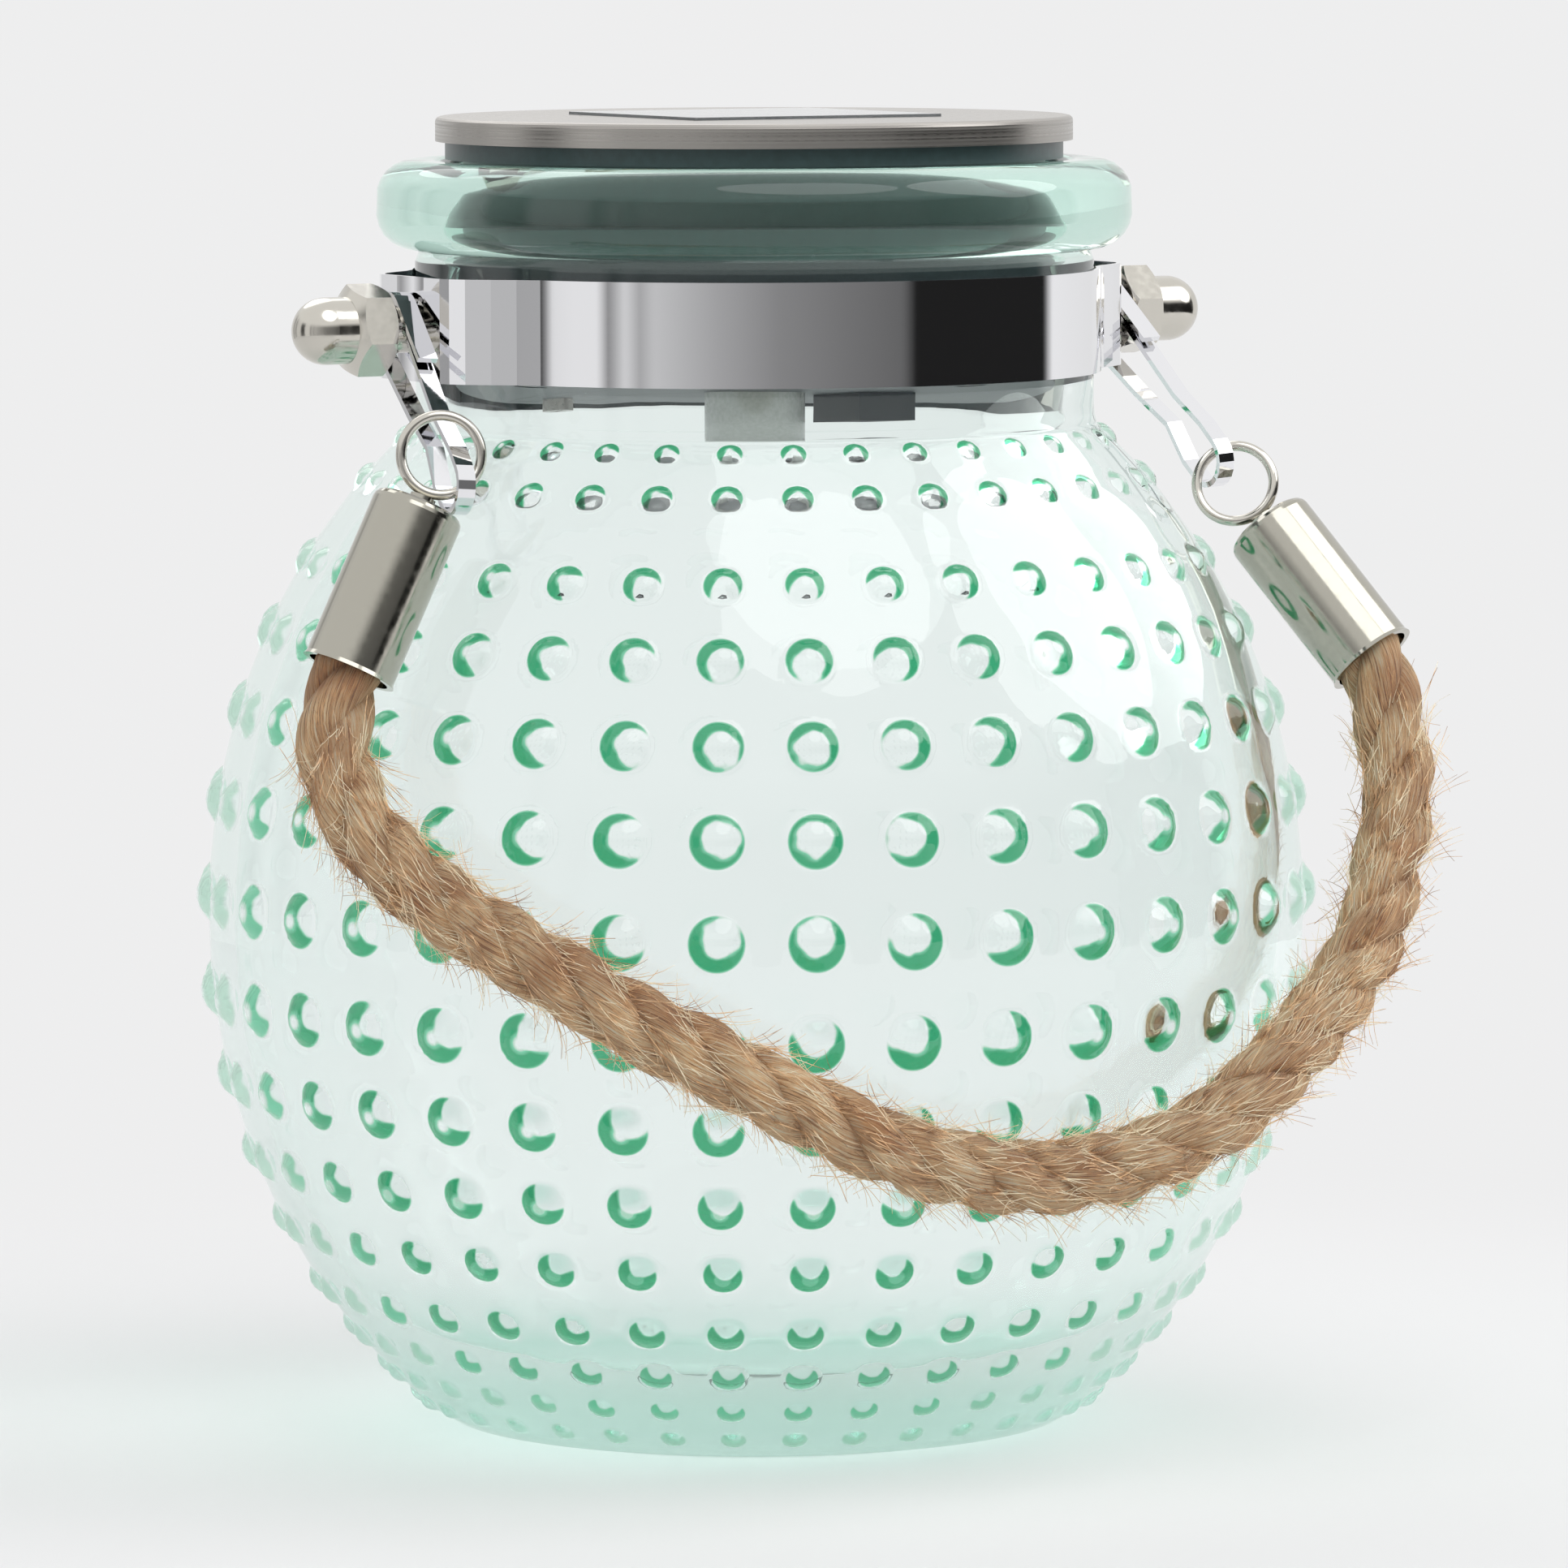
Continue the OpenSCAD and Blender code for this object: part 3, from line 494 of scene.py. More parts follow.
# %% [markdown]
# ## Glass finish
# The jar is pressed glass with a faint green tint. Light that goes straight through the wall picks
# up almost no colour, but at the steep flank of a bump it runs a long way inside the glass and
# comes out deep green. The finish has both: absorption per metre inside the glass, and a green
# flank on each bump, which the Layer Weight node finds as the part that is seen from the side.
# Following every ray through 540 small lenses takes very long, so a ray that has already met the
# glass twice goes mostly straight on, with a faint tint.

# %% Green flanks of the bumps
# Shifts which bumps look as if seen straight on and show a full ring. A lower third number moves
# them further up the belly.
RING_SHIFT = (-0.084, 0.045, -0.20)
# How far a surface must turn away from the eye to start, and to be fully, green.
STEEP_FROM, STEEP_TO = 0.17, 0.27
UNEVEN = 0.09
# Where the plain wall between the bumps is seen so nearly from the side that the green fades.
GRAZING_FROM, GRAZING_TO = 0.42, 0.75


def bump_normal(tree, place, wall):
    """The round form of a bump: the wall's normal, leaned outward from the bump's middle."""
    east = add(tree, "ShaderNodeVectorMath", operation="CROSS_PRODUCT")
    east.inputs[0].default_value = (0, 0, 1)
    join(tree, wall, "Vector", east, 1)
    east_unit = add(tree, "ShaderNodeVectorMath", operation="NORMALIZE")
    join(tree, east, "Vector", east_unit, 0)
    north = add(tree, "ShaderNodeVectorMath", operation="CROSS_PRODUCT")
    join(tree, wall, "Vector", north, 0)
    join(tree, east_unit, "Vector", north, 1)
    total = wall
    for axis, way in (("X", east_unit), ("Y", north)):
        part = add(tree, "ShaderNodeVectorMath", operation="SCALE")
        join(tree, way, "Vector", part, 0)
        join(tree, place, axis, part, "Scale")
        more = add(tree, "ShaderNodeVectorMath", operation="ADD")
        join(tree, total, "Vector", more, 0)
        join(tree, part, "Vector", more, 1)
        total = more
    lean = add(tree, "ShaderNodeVectorMath", operation="ADD")
    join(tree, total, "Vector", lean, 0)
    lean.inputs[1].default_value = RING_SHIFT
    return turn_to_world(tree, lean, "Vector")


def facing(tree, normal):
    """A Layer Weight node: 0 where the given normal points at the eye, 1 where it is side-on."""
    node = add(tree, "ShaderNodeLayerWeight", in_Blend=0.5)
    join(tree, normal, "Vector", node, "Normal")
    return node


def height_above_floor(tree):
    """The Z of the object's coordinates, as a Separate XYZ node."""
    node = add(tree, "ShaderNodeSeparateXYZ")
    join(tree, object_place(tree), "Vector", node, "Vector")
    return node


def green_flank(tree):
    """How green the light is: most at the steep edge of a bump that is seen from the side."""
    place = add(tree, "ShaderNodeAttribute", attribute_name="bump")
    split = add(tree, "ShaderNodeSeparateXYZ")
    join(tree, place, "Vector", split, "Vector")
    wall = add(tree, "ShaderNodeAttribute", attribute_name="wall")

    # Where the bump's own surface is steep, with a slightly uneven edge.
    flank = facing(tree, bump_normal(tree, split, wall))
    shake = add(tree, "ShaderNodeMapRange", in_To_Min=-UNEVEN, in_To_Max=UNEVEN)
    join(tree, noise_at(tree, object_place(tree), 420.0, 1.0), "Fac", shake, "Value")
    shaken = combine(tree, "ADD", flank, "Facing", shake, "Result")
    steep = add(tree, "ShaderNodeMapRange", interpolation_type="SMOOTHSTEP",
                in_From_Min=STEEP_FROM, in_From_Max=STEEP_TO)
    join(tree, shaken, "Value", steep, "Value")

    # The middle of a bump stays clear, less so low on the jar, where the light is caught longer.
    across = add(tree, "ShaderNodeCombineXYZ")
    join(tree, split, "X", across, "X")
    join(tree, split, "Y", across, "Y")
    off_middle = add(tree, "ShaderNodeVectorMath", operation="LENGTH")
    join(tree, across, "Vector", off_middle, "Vector")
    half = combine_number(tree, "MULTIPLY", off_middle, "Value", 0.5)
    height = height_above_floor(tree)
    filled = add(tree, "ShaderNodeMapRange", in_From_Min=0.055, in_From_Max=0.02, in_To_Min=0.0,
                 in_To_Max=0.24)
    join(tree, height, "Z", filled, "Value")
    fuller = combine(tree, "MAXIMUM", half, "Value", filled, "Result")
    edge = grey_ramp(tree, [(0.08, 0), (0.24, 1), (0.50, 1), (0.555, 0)])
    join(tree, fuller, "Value", edge, "Fac")

    # Less green at the foot, at the jar's outline and on the inside of the wall.
    foot = add(tree, "ShaderNodeMapRange", in_From_Min=0.004, in_From_Max=0.02, in_To_Min=0.35,
               in_To_Max=1.0)
    join(tree, height, "Z", foot, "Value")
    wall_flank = facing(tree, turn_to_world(tree, wall, "Vector"))
    grazing = add(tree, "ShaderNodeMapRange", interpolation_type="SMOOTHSTEP",
                  in_From_Min=GRAZING_FROM, in_From_Max=GRAZING_TO, in_To_Min=1.0, in_To_Max=0.3)
    join(tree, wall_flank, "Facing", grazing, "Value")
    outside = add(tree, "ShaderNodeMath", operation="SUBTRACT")
    outside.inputs[0].default_value = 1.0
    join(tree, add(tree, "ShaderNodeNewGeometry"), "Backfacing", outside, 1)
    green, name = steep, "Result"
    for node, out_name in ((edge, "Color"), (grazing, "Result"), (foot, "Result"), (split, "Z"),
                           (outside, "Value")):
        green, name = combine(tree, "MULTIPLY", green, name, node, out_name), "Value"
    return green


# %% Pale green glass
JAR_TOP = 0.16
# A ray that has met more surfaces than this goes mostly straight through the glass.
DEEP_RAYS = 1.5
STRAIGHT_SHARE = 0.93
CLEAR_TINT, SHADOW_TINT = (0.98, 0.997, 0.992, 1), (0.86, 0.92, 0.90, 1)


def glass_colour(tree):
    """Clear glass, with green flanks, a darker rim and a deeper lip and foot."""
    body = ramp(tree, [(0.0, (0.99, 1.0, 1.0)), (0.5, (0.07, 0.50, 0.23)),
                       (1.0, (0.004, 0.20, 0.05))])
    join(tree, green_flank(tree), "Value", body, "Fac")
    rim = add(tree, "ShaderNodeLayerWeight", in_Blend=0.5)
    rim_shade = ramp(tree, [(0.62, (1.0, 1.0, 1.0)), (0.86, (0.80, 0.92, 0.88)),
                            (1.0, (0.42, 0.62, 0.55))])
    join(tree, rim, "Facing", rim_shade, "Fac")
    shaded = multiply_colours(tree, body, "Color", rim_shade)
    level = add(tree, "ShaderNodeMapRange", in_From_Min=0.0, in_From_Max=JAR_TOP)
    join(tree, height_above_floor(tree), "Z", level, "Value")
    thick = ramp(tree, [(0.0, (0.84, 0.95, 0.92)), (0.16, (1.0, 1.0, 1.0)), (0.89, (1.0, 1.0, 1.0)),
                        (0.92, (0.56, 0.77, 0.68))])
    join(tree, level, "Result", thick, "Fac")
    return multiply_colours(tree, shaded, 2, thick)


def glass_finish():
    """Pressed glass that bends light, with a tint inside it and a faint ripple in its surface."""
    finish, tree, shader = new_finish("pale_green_glass")
    shader.inputs["Transmission Weight"].default_value = 1.0
    shader.inputs["Roughness"].default_value = 0.0
    shader.inputs["IOR"].default_value = 1.5
    join(tree, glass_colour(tree), 2, shader, "Base Color")
    ripple = noise_at(tree, object_place(tree), 45.0, 2.0)
    bump_from(tree, shader, ripple, "Fac", 0.15, 0.0006)

    # Shadow rays, and most of the deep rays, pass through a plain clear shader instead.
    path = add(tree, "ShaderNodeLightPath")
    deep = combine_number(tree, "GREATER_THAN", path, "Ray Depth", DEEP_RAYS)
    part = combine_number(tree, "MULTIPLY", deep, "Value", STRAIGHT_SHARE)
    straight = combine(tree, "MAXIMUM", path, "Is Shadow Ray", part, "Value")
    tint = add(tree, "ShaderNodeMix", data_type="RGBA")
    join(tree, path, "Is Shadow Ray", tint, "Factor")
    tint.inputs[6].default_value = CLEAR_TINT
    tint.inputs[7].default_value = SHADOW_TINT
    clear = add(tree, "ShaderNodeBsdfTransparent")
    join(tree, tint, 2, clear, "Color")
    output = next(n for n in tree.nodes if n.type == "OUTPUT_MATERIAL")
    join(tree, mix_shaders(tree, straight, "Value", shader, clear), "Shader", output, "Surface")
    inner = add(tree, "ShaderNodeVolumeAbsorption", in_Color=(0.25, 0.86, 0.66, 1), in_Density=10.0)
    join(tree, inner, "Volume", output, "Volume")
    return finish


glass = glass_finish()
print("glass nodes", len(glass.node_tree.nodes))

# %% [markdown]
# ## The bumpy jar
# A jar is round, so one outline is spun into the whole wall: up the outside, over the rolled lip
# and down the inside. The bumps can't be spun, so the finished wall is pushed out into small
# domes, 36 round the body in each of 15 rows. The outline has its points close together where a
# row passes, so that each dome is properly round.

# %% Outline of the jar
BODY_R, BODY_H, MID_Z = 0.068, 0.077, 0.064
NECK_R, BORE_R, LIP_R, LIP_Z, RIM_Z = 0.042, 0.0385, 0.04675, 0.14606, 0.15706
LIP_ROUND = 0.0045
WALL = 0.003
LOWEST_LAT = -53.6
# The oval's mean radius, which turns a length along it into degrees.
MEAN_R = 0.0725
BUMP_ROWS = [(50, 0.5), (44.5, 0.55), (35, 0.59), (27.5, 0.66), (19.5, 0.67), (11, 0.69), (2, 0.7),
             (-7, 0.7), (-15, 0.66), (-22.5, 0.61), (-29.5, 0.56), (-36.5, 0.57), (-42, 0.55),
             (-47, 0.53), (-51.5, 0.52)]
# Places of the points across a bump, as shares of its half width.
ACROSS = (0.14, 0.42, 0.62, 0.76, 0.88, 1.05)
BUMP_COUNT = 36
BUMP_TURN = math.radians(-92)
PITCH = 2 * math.pi / BUMP_COUNT


def oval(a, b, degrees):
    """A point of the jar's oval side at a latitude, as (radius, height)."""
    return a * math.cos(math.radians(degrees)), MID_Z + b * math.sin(math.radians(degrees))


def arc(z, degrees):
    """Points of the lip's rounded edge, whose centre is at height z."""
    return [(LIP_R - LIP_ROUND + LIP_ROUND * math.cos(a), z + LIP_ROUND * math.sin(a))
            for a in map(math.radians, degrees)]


def jar_outline():
    """The wall's outline as (radius, height): foot, outside, lip, then down the inside."""
    lats = []
    for lat, share in BUMP_ROWS:
        half = math.degrees(share * math.pi * oval(BODY_R, BODY_H, lat)[0] / BUMP_COUNT / MEAN_R)
        lats += [lat + side * half * f for f in ACROSS for side in (-1, 1)]
    body = [oval(BODY_R, BODY_H, lat) for lat in sorted(lats) if lat > LOWEST_LAT]
    foot = [(0, 0.0009), (0.028, 0.0009), (0.0293, 0.0002), (0.030, 0), (0.0328, 0),
            (0.0338, 0.0002), (0.0364, 0.0007), (0.0386, 0.0011)]
    neck = [(0.04235, 0.1247), (0.0421, 0.1256), (NECK_R, 0.127), (NECK_R, 0.136), (NECK_R, 0.1445)]
    lip = arc(LIP_Z + LIP_ROUND, range(-100, 1, 16))
    rim = arc(RIM_Z - LIP_ROUND, range(0, 91, 15))
    mouth = [(0.0398, RIM_Z), (0.0389, RIM_Z - 0.0003), (BORE_R, RIM_Z - 0.0012), (BORE_R, 0.141),
             (BORE_R, 0.1232), (0.0396, 0.1214)]
    inside = [oval(BODY_R - WALL, BODY_H - WALL, lat)
              for lat in (45, 40, 30, 20, 10, 0, -10, -20, -29, -37, -43)]
    floor = [(0.0345, 0.0072), (0.0315, 0.0058), (0.028, 0.0051), (0, 0.005)]
    return foot + body + neck + lip + rim[1:] + mouth + inside + floor


outline = jar_outline()
print("points in the outline", len(outline))


# %% Push the bumps out of the wall
DOME_SHARE = 0.76
DOME_HEIGHT = 0.20
# Beyond this share of its width a bump no longer lifts the wall at all.
DOME_REACH = 0.75
# The fall of the cap's sides past its edge, and the round that blends its foot into the wall.
FOOT_FALL, FOOT_ROUND, FOOT_SINK = 1.9, 0.0003, 0.00001
# How far the green flank reaches past the cap's half width.
FLANK_REACH = 1.28


def dome(distance, width):
    """Height of a bump at a distance from its middle: a round cap on a small hollow foot."""
    half = DOME_SHARE * width / 2
    height = DOME_HEIGHT * width
    radius = (half * half + height * height) / (2 * height)
    if distance > DOME_REACH * width:
        return 0.0
    cap = math.sqrt(max(0.0, radius * radius - distance * distance)) - (radius - height)
    if distance > half:
        cap = min(cap, -FOOT_FALL * (distance - half))
    return 0.5 * (cap + math.sqrt(cap * cap + FOOT_ROUND ** 2)) - FOOT_SINK


# How far round a bump's place each of its twelve columns of points lies, as a share of the pitch.
COLUMNS = [0, 0.1, 0.18, 0.235, 0.29, 0.37, 0.5]
COLUMNS_PER_BUMP = 12


def gather_columns(bm):
    """Turns the evenly spun points, so that more of them lie at the steep edge of each bump."""
    for v in bm.verts:
        r = math.hypot(v.co.x, v.co.y)
        if r < 0.001:
            continue
        around = math.atan2(v.co.y, v.co.x) - BUMP_TURN
        home = round(around / PITCH)
        off = around / PITCH - home
        column = min(len(COLUMNS) - 1, round(abs(off) * COLUMNS_PER_BUMP))
        around = (home + math.copysign(COLUMNS[column], off)) * PITCH + BUMP_TURN
        v.co = Vector((r * math.cos(around), r * math.sin(around), v.co.z))


def on_the_belly(r, z):
    """Whether a point lies on the outside of the round body, where the bumps are."""
    off_oval = abs((r / BODY_R) ** 2 + ((z - MID_Z) / BODY_H) ** 2 - 1)
    return z <= 0.1255 and r >= 0.03 and off_oval <= 0.002


def raise_bumps(bm):
    """Lifts the domes out of the wall and notes on each point where it lies on its bump."""
    on_bump = bm.verts.layers.float_vector.new("bump")
    on_wall = bm.verts.layers.float_vector.new("wall")
    rows = [(oval(BODY_R, BODY_H, lat), share * PITCH * oval(BODY_R, BODY_H, lat)[0])
            for lat, share in BUMP_ROWS]
    for v in bm.verts:
        r, z = math.hypot(v.co.x, v.co.y), v.co.z
        if not on_the_belly(r, z):
            continue
        around = math.atan2(v.co.y, v.co.x)
        a = (around - BUMP_TURN + PITCH / 2) % PITCH - PITCH / 2
        (row_r, row_z), width = min(rows, key=lambda row: abs(row[0][1] - z))
        across, inward = r * math.sin(a), r * math.cos(a) - row_r
        distance = math.sqrt(across ** 2 + inward ** 2 + (z - row_z) ** 2)
        half = DOME_SHARE * width / 2
        up = math.copysign(math.hypot(inward, z - row_z), z - row_z)
        v[on_bump] = Vector((across / half, up / half, float(distance < FLANK_REACH * half)))
        slope = Vector((r / BODY_R ** 2, 0, (z - MID_Z) / BODY_H ** 2)).normalized()
        v[on_wall] = Vector((slope.x * math.cos(around), slope.x * math.sin(around), slope.z))
        v.co += dome(distance, width) * v[on_wall]


def build_jar():
    """Spins the outline into the whole wall, then raises the bumps."""
    bm = bmesh.new()
    verts = [bm.verts.new((r, 0, z)) for r, z in outline]
    edges = [bm.edges.new(pair) for pair in zip(verts, verts[1:])]
    bmesh.ops.rotate(bm, verts=verts, cent=(0, 0, 0), matrix=Matrix.Rotation(BUMP_TURN, 3, "Z"))
    bmesh.ops.spin(bm, geom=verts + edges, cent=(0, 0, 0), axis=(0, 0, 1), angle=2 * math.pi,
                   steps=BUMP_COUNT * COLUMNS_PER_BUMP, use_merge=True)
    bmesh.ops.remove_doubles(bm, verts=bm.verts, dist=1e-6)
    gather_columns(bm)
    raise_bumps(bm)
    bmesh.ops.recalc_face_normals(bm, faces=bm.faces)
    return bm


to_piece("bumpy_jar", build_jar(), "jar", glass, "jar_glass", "glass_jar")

# %% [markdown]
# ## Polished metals
# The strap is mirror chrome: it has almost no colour of its own and shows the room. Fine lines run
# round it from polishing, so its roughness is stretched along one way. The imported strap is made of
# short flat faces, so its shine follows the round band it stands for. Nickel is the same idea,
# slightly warmer, with faint specks of dust. The steel lid is brushed in circles.

# %% Chrome and nickel
def mirror_metal(name, colour, roughness, line_scale, line_strength):
    """Bare polished metal with faint polishing lines in its roughness and relief."""
    finish, tree, shader = new_finish(name)
    shader.inputs["Base Color"].default_value = (*colour, 1)
    shader.inputs["Metallic"].default_value = 1.0
    lines = noise_at(tree, object_place(tree, line_scale), 1.0, 3.0)
    level = grey_ramp(tree, [(0.35, roughness), (0.75, roughness * 2.2)])
    join(tree, lines, "Fac", level, "Fac")
    join(tree, level, "Color", shader, "Roughness")
    bump_from(tree, shader, lines, "Fac", line_strength, 0.0001)
    return finish


# How well a face must fit the round form to take its shine, as the cosine of the angle between.
ROUND_FIT = 0.997


def round_over(finish):
    """Lets a metal band round the jar's axis shine as one smooth curve, not as flat facets."""
    tree = finish.node_tree
    shader = next(n for n in tree.nodes if n.type == "BSDF_PRINCIPLED")
    bump = next(n for n in tree.nodes if n.type == "BUMP")
    place = add(tree, "ShaderNodeVectorMath", operation="MULTIPLY")
    join(tree, object_place(tree), "Vector", place, 0)
    place.inputs[1].default_value = (1, 1, 0)
    outward = add(tree, "ShaderNodeVectorMath", operation="NORMALIZE")
    join(tree, place, "Vector", outward, 0)
    turned = turn_to_world(tree, outward, "Vector")
    surface = add(tree, "ShaderNodeNewGeometry")
    likeness = add(tree, "ShaderNodeVectorMath", operation="DOT_PRODUCT")
    join(tree, surface, "Normal", likeness, 0)
    join(tree, turned, "Vector", likeness, 1)
    close = combine_number(tree, "GREATER_THAN", likeness, "Value", ROUND_FIT)
    chosen = add(tree, "ShaderNodeMix", data_type="VECTOR")
    join(tree, close, "Value", chosen, "Factor")
    join(tree, surface, "Normal", chosen, 4)
    join(tree, turned, "Vector", chosen, 5)
    join(tree, chosen, 1, bump, "Normal")
    return finish


ROUND_THE_BAND = (25, 25, 9000)
FINE_SPECKS = (900, 900, 900)
chrome = round_over(mirror_metal("polished_chrome", (0.82, 0.82, 0.84), 0.03, ROUND_THE_BAND,
                                 0.012))
cap_nickel = mirror_metal("end_cap_nickel", (0.43, 0.415, 0.36), 0.09, FINE_SPECKS, 0.05)
nickel = mirror_metal("bright_nickel", (0.60, 0.575, 0.52), 0.10, FINE_SPECKS, 0.05)


# %% Brushed steel of the lid
def steel_finish():
    """Steel whose grain depends only on the distance from the middle, so it runs in circles."""
    finish, tree, shader = new_finish("brushed_steel")
    shader.inputs["Base Color"].default_value = (0.42, 0.40, 0.375, 1)
    shader.inputs["Metallic"].default_value = 1.0
    place = add(tree, "ShaderNodeTexCoord")
    split = add(tree, "ShaderNodeSeparateXYZ")
    join(tree, place, "Object", split, "Vector")
    flat = add(tree, "ShaderNodeCombineXYZ")
    join(tree, split, "X", flat, "X")
    join(tree, split, "Y", flat, "Y")
    from_middle = add(tree, "ShaderNodeVectorMath", operation="LENGTH")
    join(tree, flat, "Vector", from_middle, "Vector")
    rings = add(tree, "ShaderNodeCombineXYZ")
    join(tree, from_middle, "Value", rings, "X")
    join(tree, split, "Z", rings, "Y")
    grain = noise_at(tree, rings, 4200.0, 3.0)
    level = grey_ramp(tree, [(0.3, 0.24), (0.7, 0.42)])
    join(tree, grain, "Fac", level, "Fac")
    join(tree, level, "Color", shader, "Roughness")
    bump_from(tree, shader, grain, "Fac", 0.12, 0.0001)
    return finish


steel = steel_finish()
print("finishes", chrome.name, cap_nickel.name, nickel.name, steel.name)

# %% [markdown]
# ## Finishes inside the neck
# Under the lid sits a dark plastic light module with a soft silicone gasket round it. Most of it
# is only seen through green glass, but each piece still gets the finish that it would have in the
# hand: moulded plastic with a fine spark texture, frosted lens, sleeved battery and wires.

# %% Moulded plastics
def plastic(name, colour, roughness, grain_scale=2500.0, grain=0.15, transmission=0.0):
    """Moulded plastic: a slightly uneven tone and a fine spark grain."""
    finish, tree, shader = new_finish(name)
    spots = noise_at(tree, object_place(tree), grain_scale, 2.0)
    tone = ramp(tree, [(0.3, tuple(c * 0.88 for c in colour)),
                       (0.7, tuple(min(1.0, c * 1.08) for c in colour))])
    join(tree, spots, "Fac", tone, "Fac")
    join(tree, tone, "Color", shader, "Base Color")
    shader.inputs["Roughness"].default_value = roughness
    shader.inputs["Transmission Weight"].default_value = transmission
    bump_from(tree, shader, spots, "Fac", grain, 0.0001)
    return finish


finishes = {
    "dark_plastic": plastic("dark_moulded_plastic", (0.035, 0.042, 0.05), 0.45),
    "gasket": plastic("silicone_gasket", (0.03, 0.055, 0.058), 0.35, 900.0, 0.1),
    "board": plastic("board_resin", (0.02, 0.16, 0.06), 0.35, 1800.0, 0.2),
    "wire": plastic("wire_sleeve", (0.55, 0.03, 0.02), 0.35, 1500.0, 0.1),
    "led": plastic("led_resin", (0.92, 0.88, 0.6), 0.1, 1200.0, 0.05, transmission=0.6),
    "lens": plastic("frosted_lens", (0.93, 0.96, 0.92), 0.25, 2200.0, 0.25, transmission=0.7),
    "cell_jacket": plastic("battery_sleeve", (0.10, 0.42, 0.18), 0.25, 700.0, 0.05),
    "light_plastic": plastic("switch_plastic", (0.80, 0.80, 0.77), 0.4),
    "window": plastic("clear_window", (0.85, 0.9, 0.92), 0.06, 300.0, 0.02, transmission=0.85),
    "chrome": chrome,
    "nickel": nickel,
    "steel": steel,
    "jute": jute,
    "jar_glass": glass,
}


# %% Solar cell with its silver grid lines
def solar_finish():
    """Dark blue silicon with thin silver grid lines."""
    finish, tree, shader = new_finish("solar_cell_face")
    waves = add(tree, "ShaderNodeTexWave", bands_direction="X", in_Scale=62.0)
    join(tree, object_place(tree), "Vector", waves, "Vector")
    lines = ramp(tree, [(0.965, (0.006, 0.008, 0.03)), (0.985, (0.55, 0.56, 0.58))])
    join(tree, waves, "Fac", lines, "Fac")
    join(tree, lines, "Color", shader, "Base Color")
    shader.inputs["Roughness"].default_value = 0.18
    return finish


finishes["solar_cell"] = solar_finish()

# %% Dress the solids that keep their own shape
slots = {part["node"]: part["material_slot"] for part in frame["record"]["subparts"]}
for node, piece in frame["nodes"].items():
    piece.data.materials.clear()
    piece.data.materials.append(cap_nickel if node.endswith("end_cap") else finishes[slots[node]])
print("finishes used", sorted(set(slots.values())))

# %% [markdown]
# ## Studio
# The lantern stands on a round pale floor, under a soft even light. Away from the jar the floor
# fades into the paper white of the background, so no horizon shows. Glass and chrome only look
# right with something to reflect, so the first mirror rays see a plain studio: light walls with
# grey and dark panels round the room. The eye and the rays through the glass see white paper.

# %% Floor
PAPER = (0.855, 0.855, 0.858, 1)
FLOOR_R = 0.7
# Just under the jar's foot, so that the two faces don't lie in one plane.
FLOOR_Z = -0.0002
FADE_FROM, FADE_TO = 0.09, 0.26


def floor_finish():
    """Matt paper that takes shadows near the jar and turns into plain paper white further out."""
    finish, tree, shader = new_finish("studio_floor")
    shader.inputs["Base Color"].default_value = (0.76, 0.76, 0.765, 1)
    shader.inputs["Roughness"].default_value = 0.9
    shader.inputs["Specular IOR Level"].default_value = 0.1
    output = next(n for n in tree.nodes if n.type == "OUTPUT_MATERIAL")
    path = add(tree, "ShaderNodeLightPath")
    seen = combine(tree, "MAXIMUM", path, "Is Camera Ray", path, "Is Transmission Ray")
    from_middle = add(tree, "ShaderNodeVectorMath", operation="LENGTH")
    join(tree, object_place(tree), "Vector", from_middle, "Vector")
    far = add(tree, "ShaderNodeMapRange", interpolation_type="SMOOTHSTEP",
              in_From_Min=FADE_FROM, in_From_Max=FADE_TO, in_To_Min=0.1, in_To_Max=1.0)
    join(tree, from_middle, "Value", far, "Value")
    part = combine(tree, "MULTIPLY", seen, "Value", far, "Result")
    paper = add(tree, "ShaderNodeEmission", in_Color=PAPER, in_Strength=1.0)
    join(tree, mix_shaders(tree, part, "Value", shader, paper), "Shader", output, "Surface")
    return finish


def build_floor():
    bm = bmesh.new()
    bmesh.ops.create_circle(bm, segments=96, radius=FLOOR_R, cap_ends=True)
    mesh = bpy.data.meshes.new("studio_floor")
    bm.to_mesh(mesh)
    bm.free()
    floor = bpy.data.objects.new("studio_floor", mesh)
    floor.location.z = FLOOR_Z
    bpy.context.scene.collection.objects.link(floor)
    mesh.materials.append(floor_finish())
    print("floor", 2 * FLOOR_R, "m across")


build_floor()


# %% What the mirrors see
# Light and dark panels round the room, as (degrees from the camera's side, level).
PANELS = [(-176, 0.9), (-140, 0.8), (-132, 0.35), (-124, 0.9), (-118, 0.3), (-110, 0.8),
          (-92, 0.85), (-87, 0.10), (-74, 0.10), (-70, 0.85), (-53, 0.9), (-49, 0.3), (-43, 0.75),
          (-38, 0.45), (-33, 0.62), (-12, 0.42), (8, 0.27), (30, 0.2), (50, 0.15), (55, 0.015),
          (112, 0.015), (117, 0.95), (150, 0.85)]
PLAIN_WALL = 0.9
WHITE = (1, 1, 1, 1)


def wall_stops():
    """The panels as stops of a ramp round the whole room, in order."""
    home = math.degrees(math.atan2(-view_line.y, -view_line.x))
    inner = sorted((((home + degrees + 180) % 360) / 360, level) for degrees, level in PANELS)
    return [(0.0, PLAIN_WALL)] + inner + [(1.0, PLAIN_WALL)]


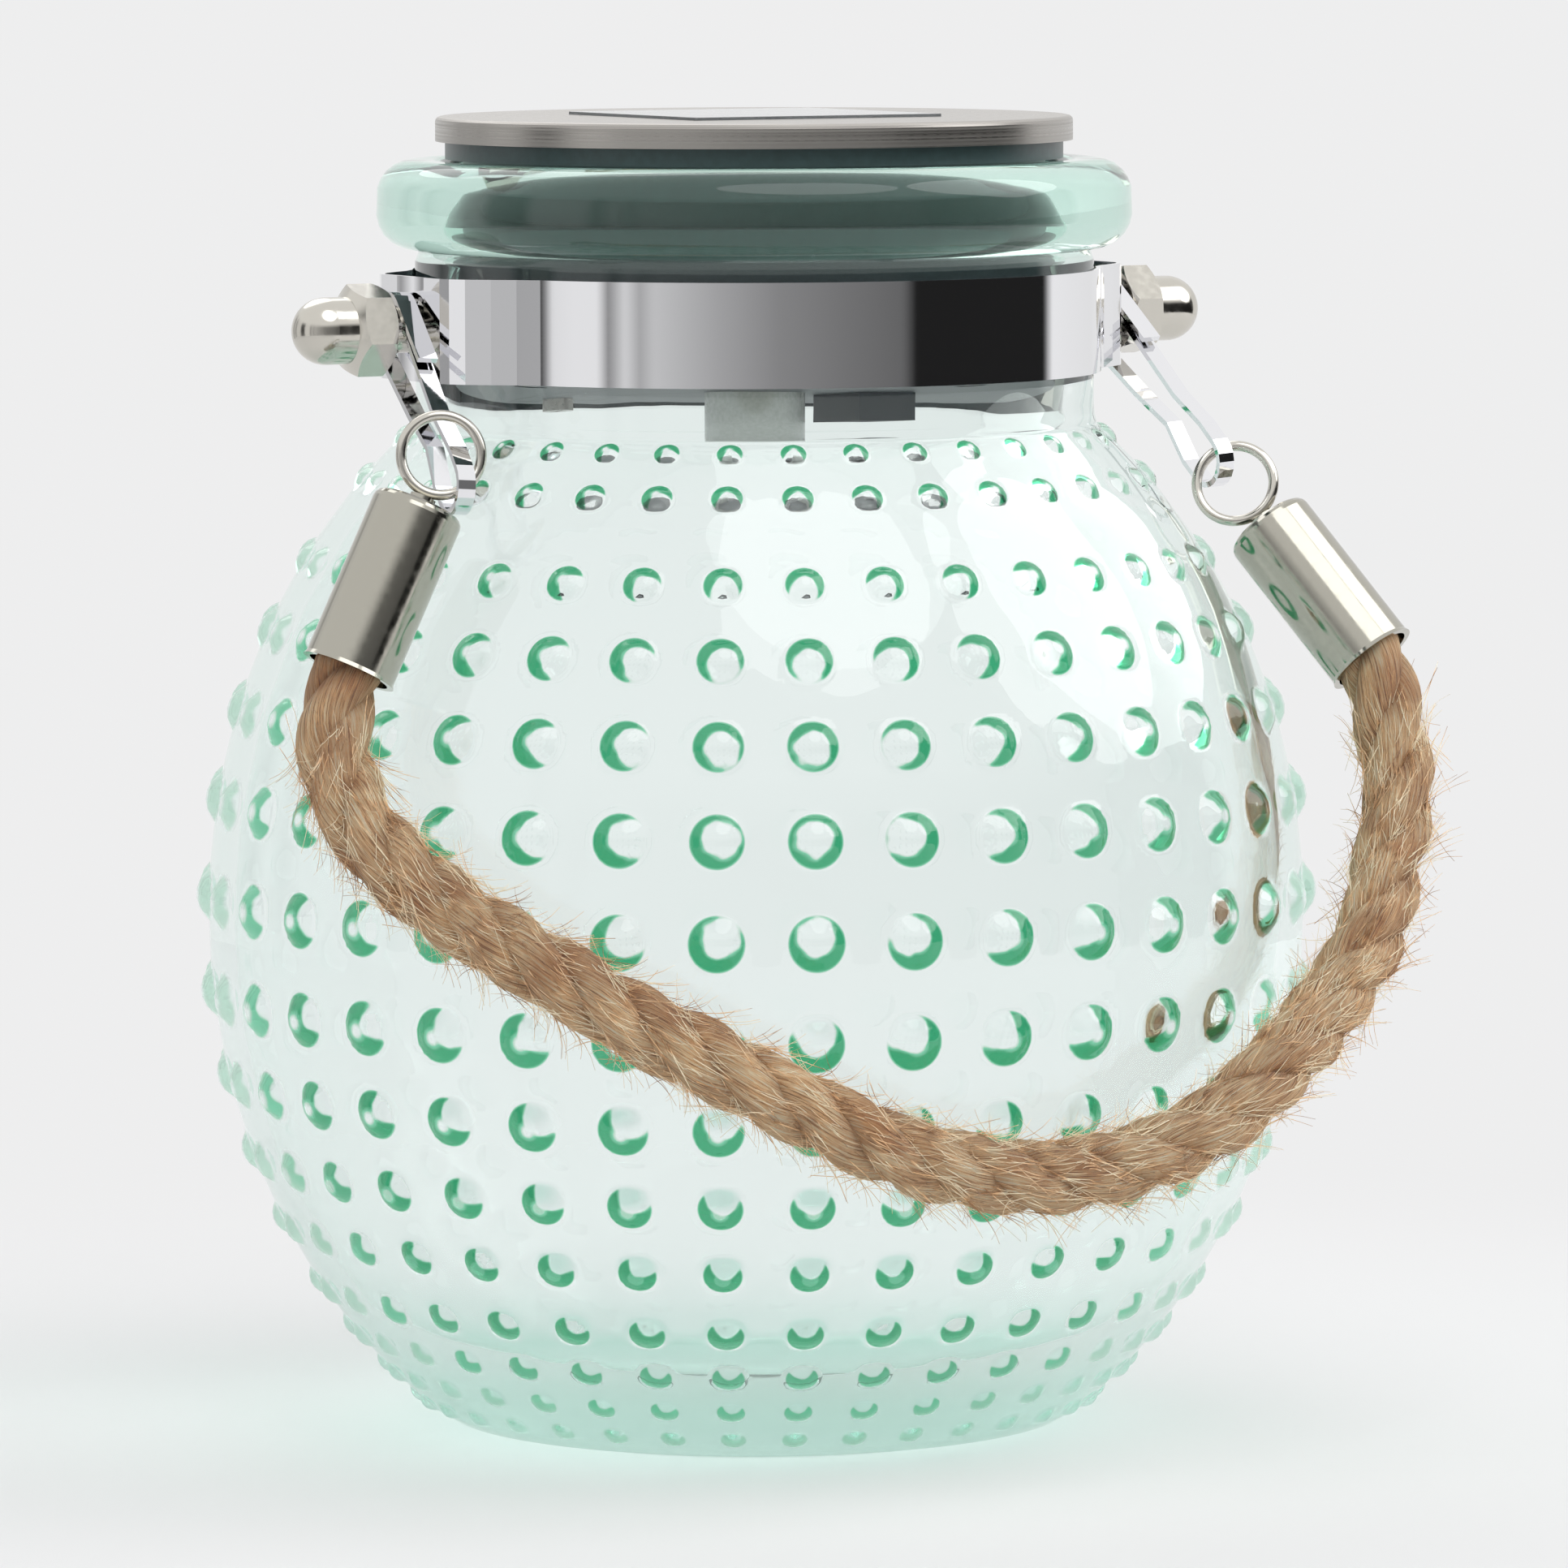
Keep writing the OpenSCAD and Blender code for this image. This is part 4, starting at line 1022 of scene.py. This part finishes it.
def mirror_room(tree):
    """The room as a mirror sees it: panelled walls at eye height, and white above and below."""
    place = add(tree, "ShaderNodeTexCoord")
    split = add(tree, "ShaderNodeSeparateXYZ")
    join(tree, place, "Generated", split, "Vector")
    around = combine(tree, "ARCTAN2", split, "Y", split, "X")
    share = add(tree, "ShaderNodeMapRange", in_From_Min=-math.pi, in_From_Max=math.pi)
    join(tree, around, "Value", share, "Value")
    walls = grey_ramp(tree, wall_stops())
    join(tree, share, "Result", walls, "Fac")
    height = add(tree, "ShaderNodeMath", operation="ABSOLUTE")
    join(tree, split, "Z", height, 0)
    ceiling = grey_ramp(tree, [(0.0, 0.0), (0.26, 0.0), (0.42, 1.0)])
    join(tree, height, "Value", ceiling, "Fac")
    room = add(tree, "ShaderNodeMix", data_type="RGBA")
    join(tree, ceiling, "Color", room, "Factor")
    join(tree, walls, "Color", room, 6)
    room.inputs[7].default_value = WHITE
    mirrored = add(tree, "ShaderNodeBackground", in_Strength=1.0)
    join(tree, room, 2, mirrored, "Color")
    return mirrored


# %% Room light
# In the world the count of a ray's meetings is one higher than on a surface.
FIRST_MIRROR = 2.5


def build_world():
    """Soft light for surfaces, the panelled room for mirrors, white paper for all other rays."""
    world = bpy.data.worlds.new("studio_room")
    bpy.context.scene.world = world
    world.use_nodes = True
    tree = world.node_tree
    tree.nodes.clear()
    soft = add(tree, "ShaderNodeBackground", in_Color=WHITE, in_Strength=0.75)
    paper = add(tree, "ShaderNodeBackground", in_Color=PAPER, in_Strength=1.0)
    path = add(tree, "ShaderNodeLightPath")
    lit = mix_shaders(tree, path, "Is Glossy Ray", soft, mirror_room(tree))
    shallow = combine_number(tree, "LESS_THAN", path, "Ray Depth", FIRST_MIRROR)
    deep = combine(tree, "SUBTRACT", path, "Is Glossy Ray", shallow, "Value")
    direct = combine(tree, "MAXIMUM", path, "Is Camera Ray", path, "Is Transmission Ray")
    seen = combine(tree, "MAXIMUM", direct, "Value", deep, "Value")
    output = add(tree, "ShaderNodeOutputWorld")
    join(tree, mix_shaders(tree, seen, "Value", lit, paper), "Shader", output, "Surface")
    print("world nodes", len(tree.nodes))


build_world()


# %% Lamps
AIM = Vector((0, 0, 0.07))


def soft_lamp(name, place, size, power):
    """A round soft lamp that is aimed at the middle of the lantern."""
    light = bpy.data.lights.new(name, "AREA")
    light.shape = "DISK"
    light.size = size
    light.energy = power
    lamp = bpy.data.objects.new(name, light)
    lamp.location = place
    lamp.rotation_mode = "QUATERNION"
    lamp.rotation_quaternion = (AIM - Vector(place)).to_track_quat("-Z", "Y")
    bpy.context.scene.collection.objects.link(lamp)
    print(name, power, "W")


soft_lamp("key_lamp", (-0.08, -1.07, 1.75), 1.5, 9.0)
soft_lamp("fill_lamp", (0.9, -0.5, 0.9), 1.1, 6.0)
soft_lamp("back_lamp", (0.1, 0.9, 1.0), 0.9, 2.5)
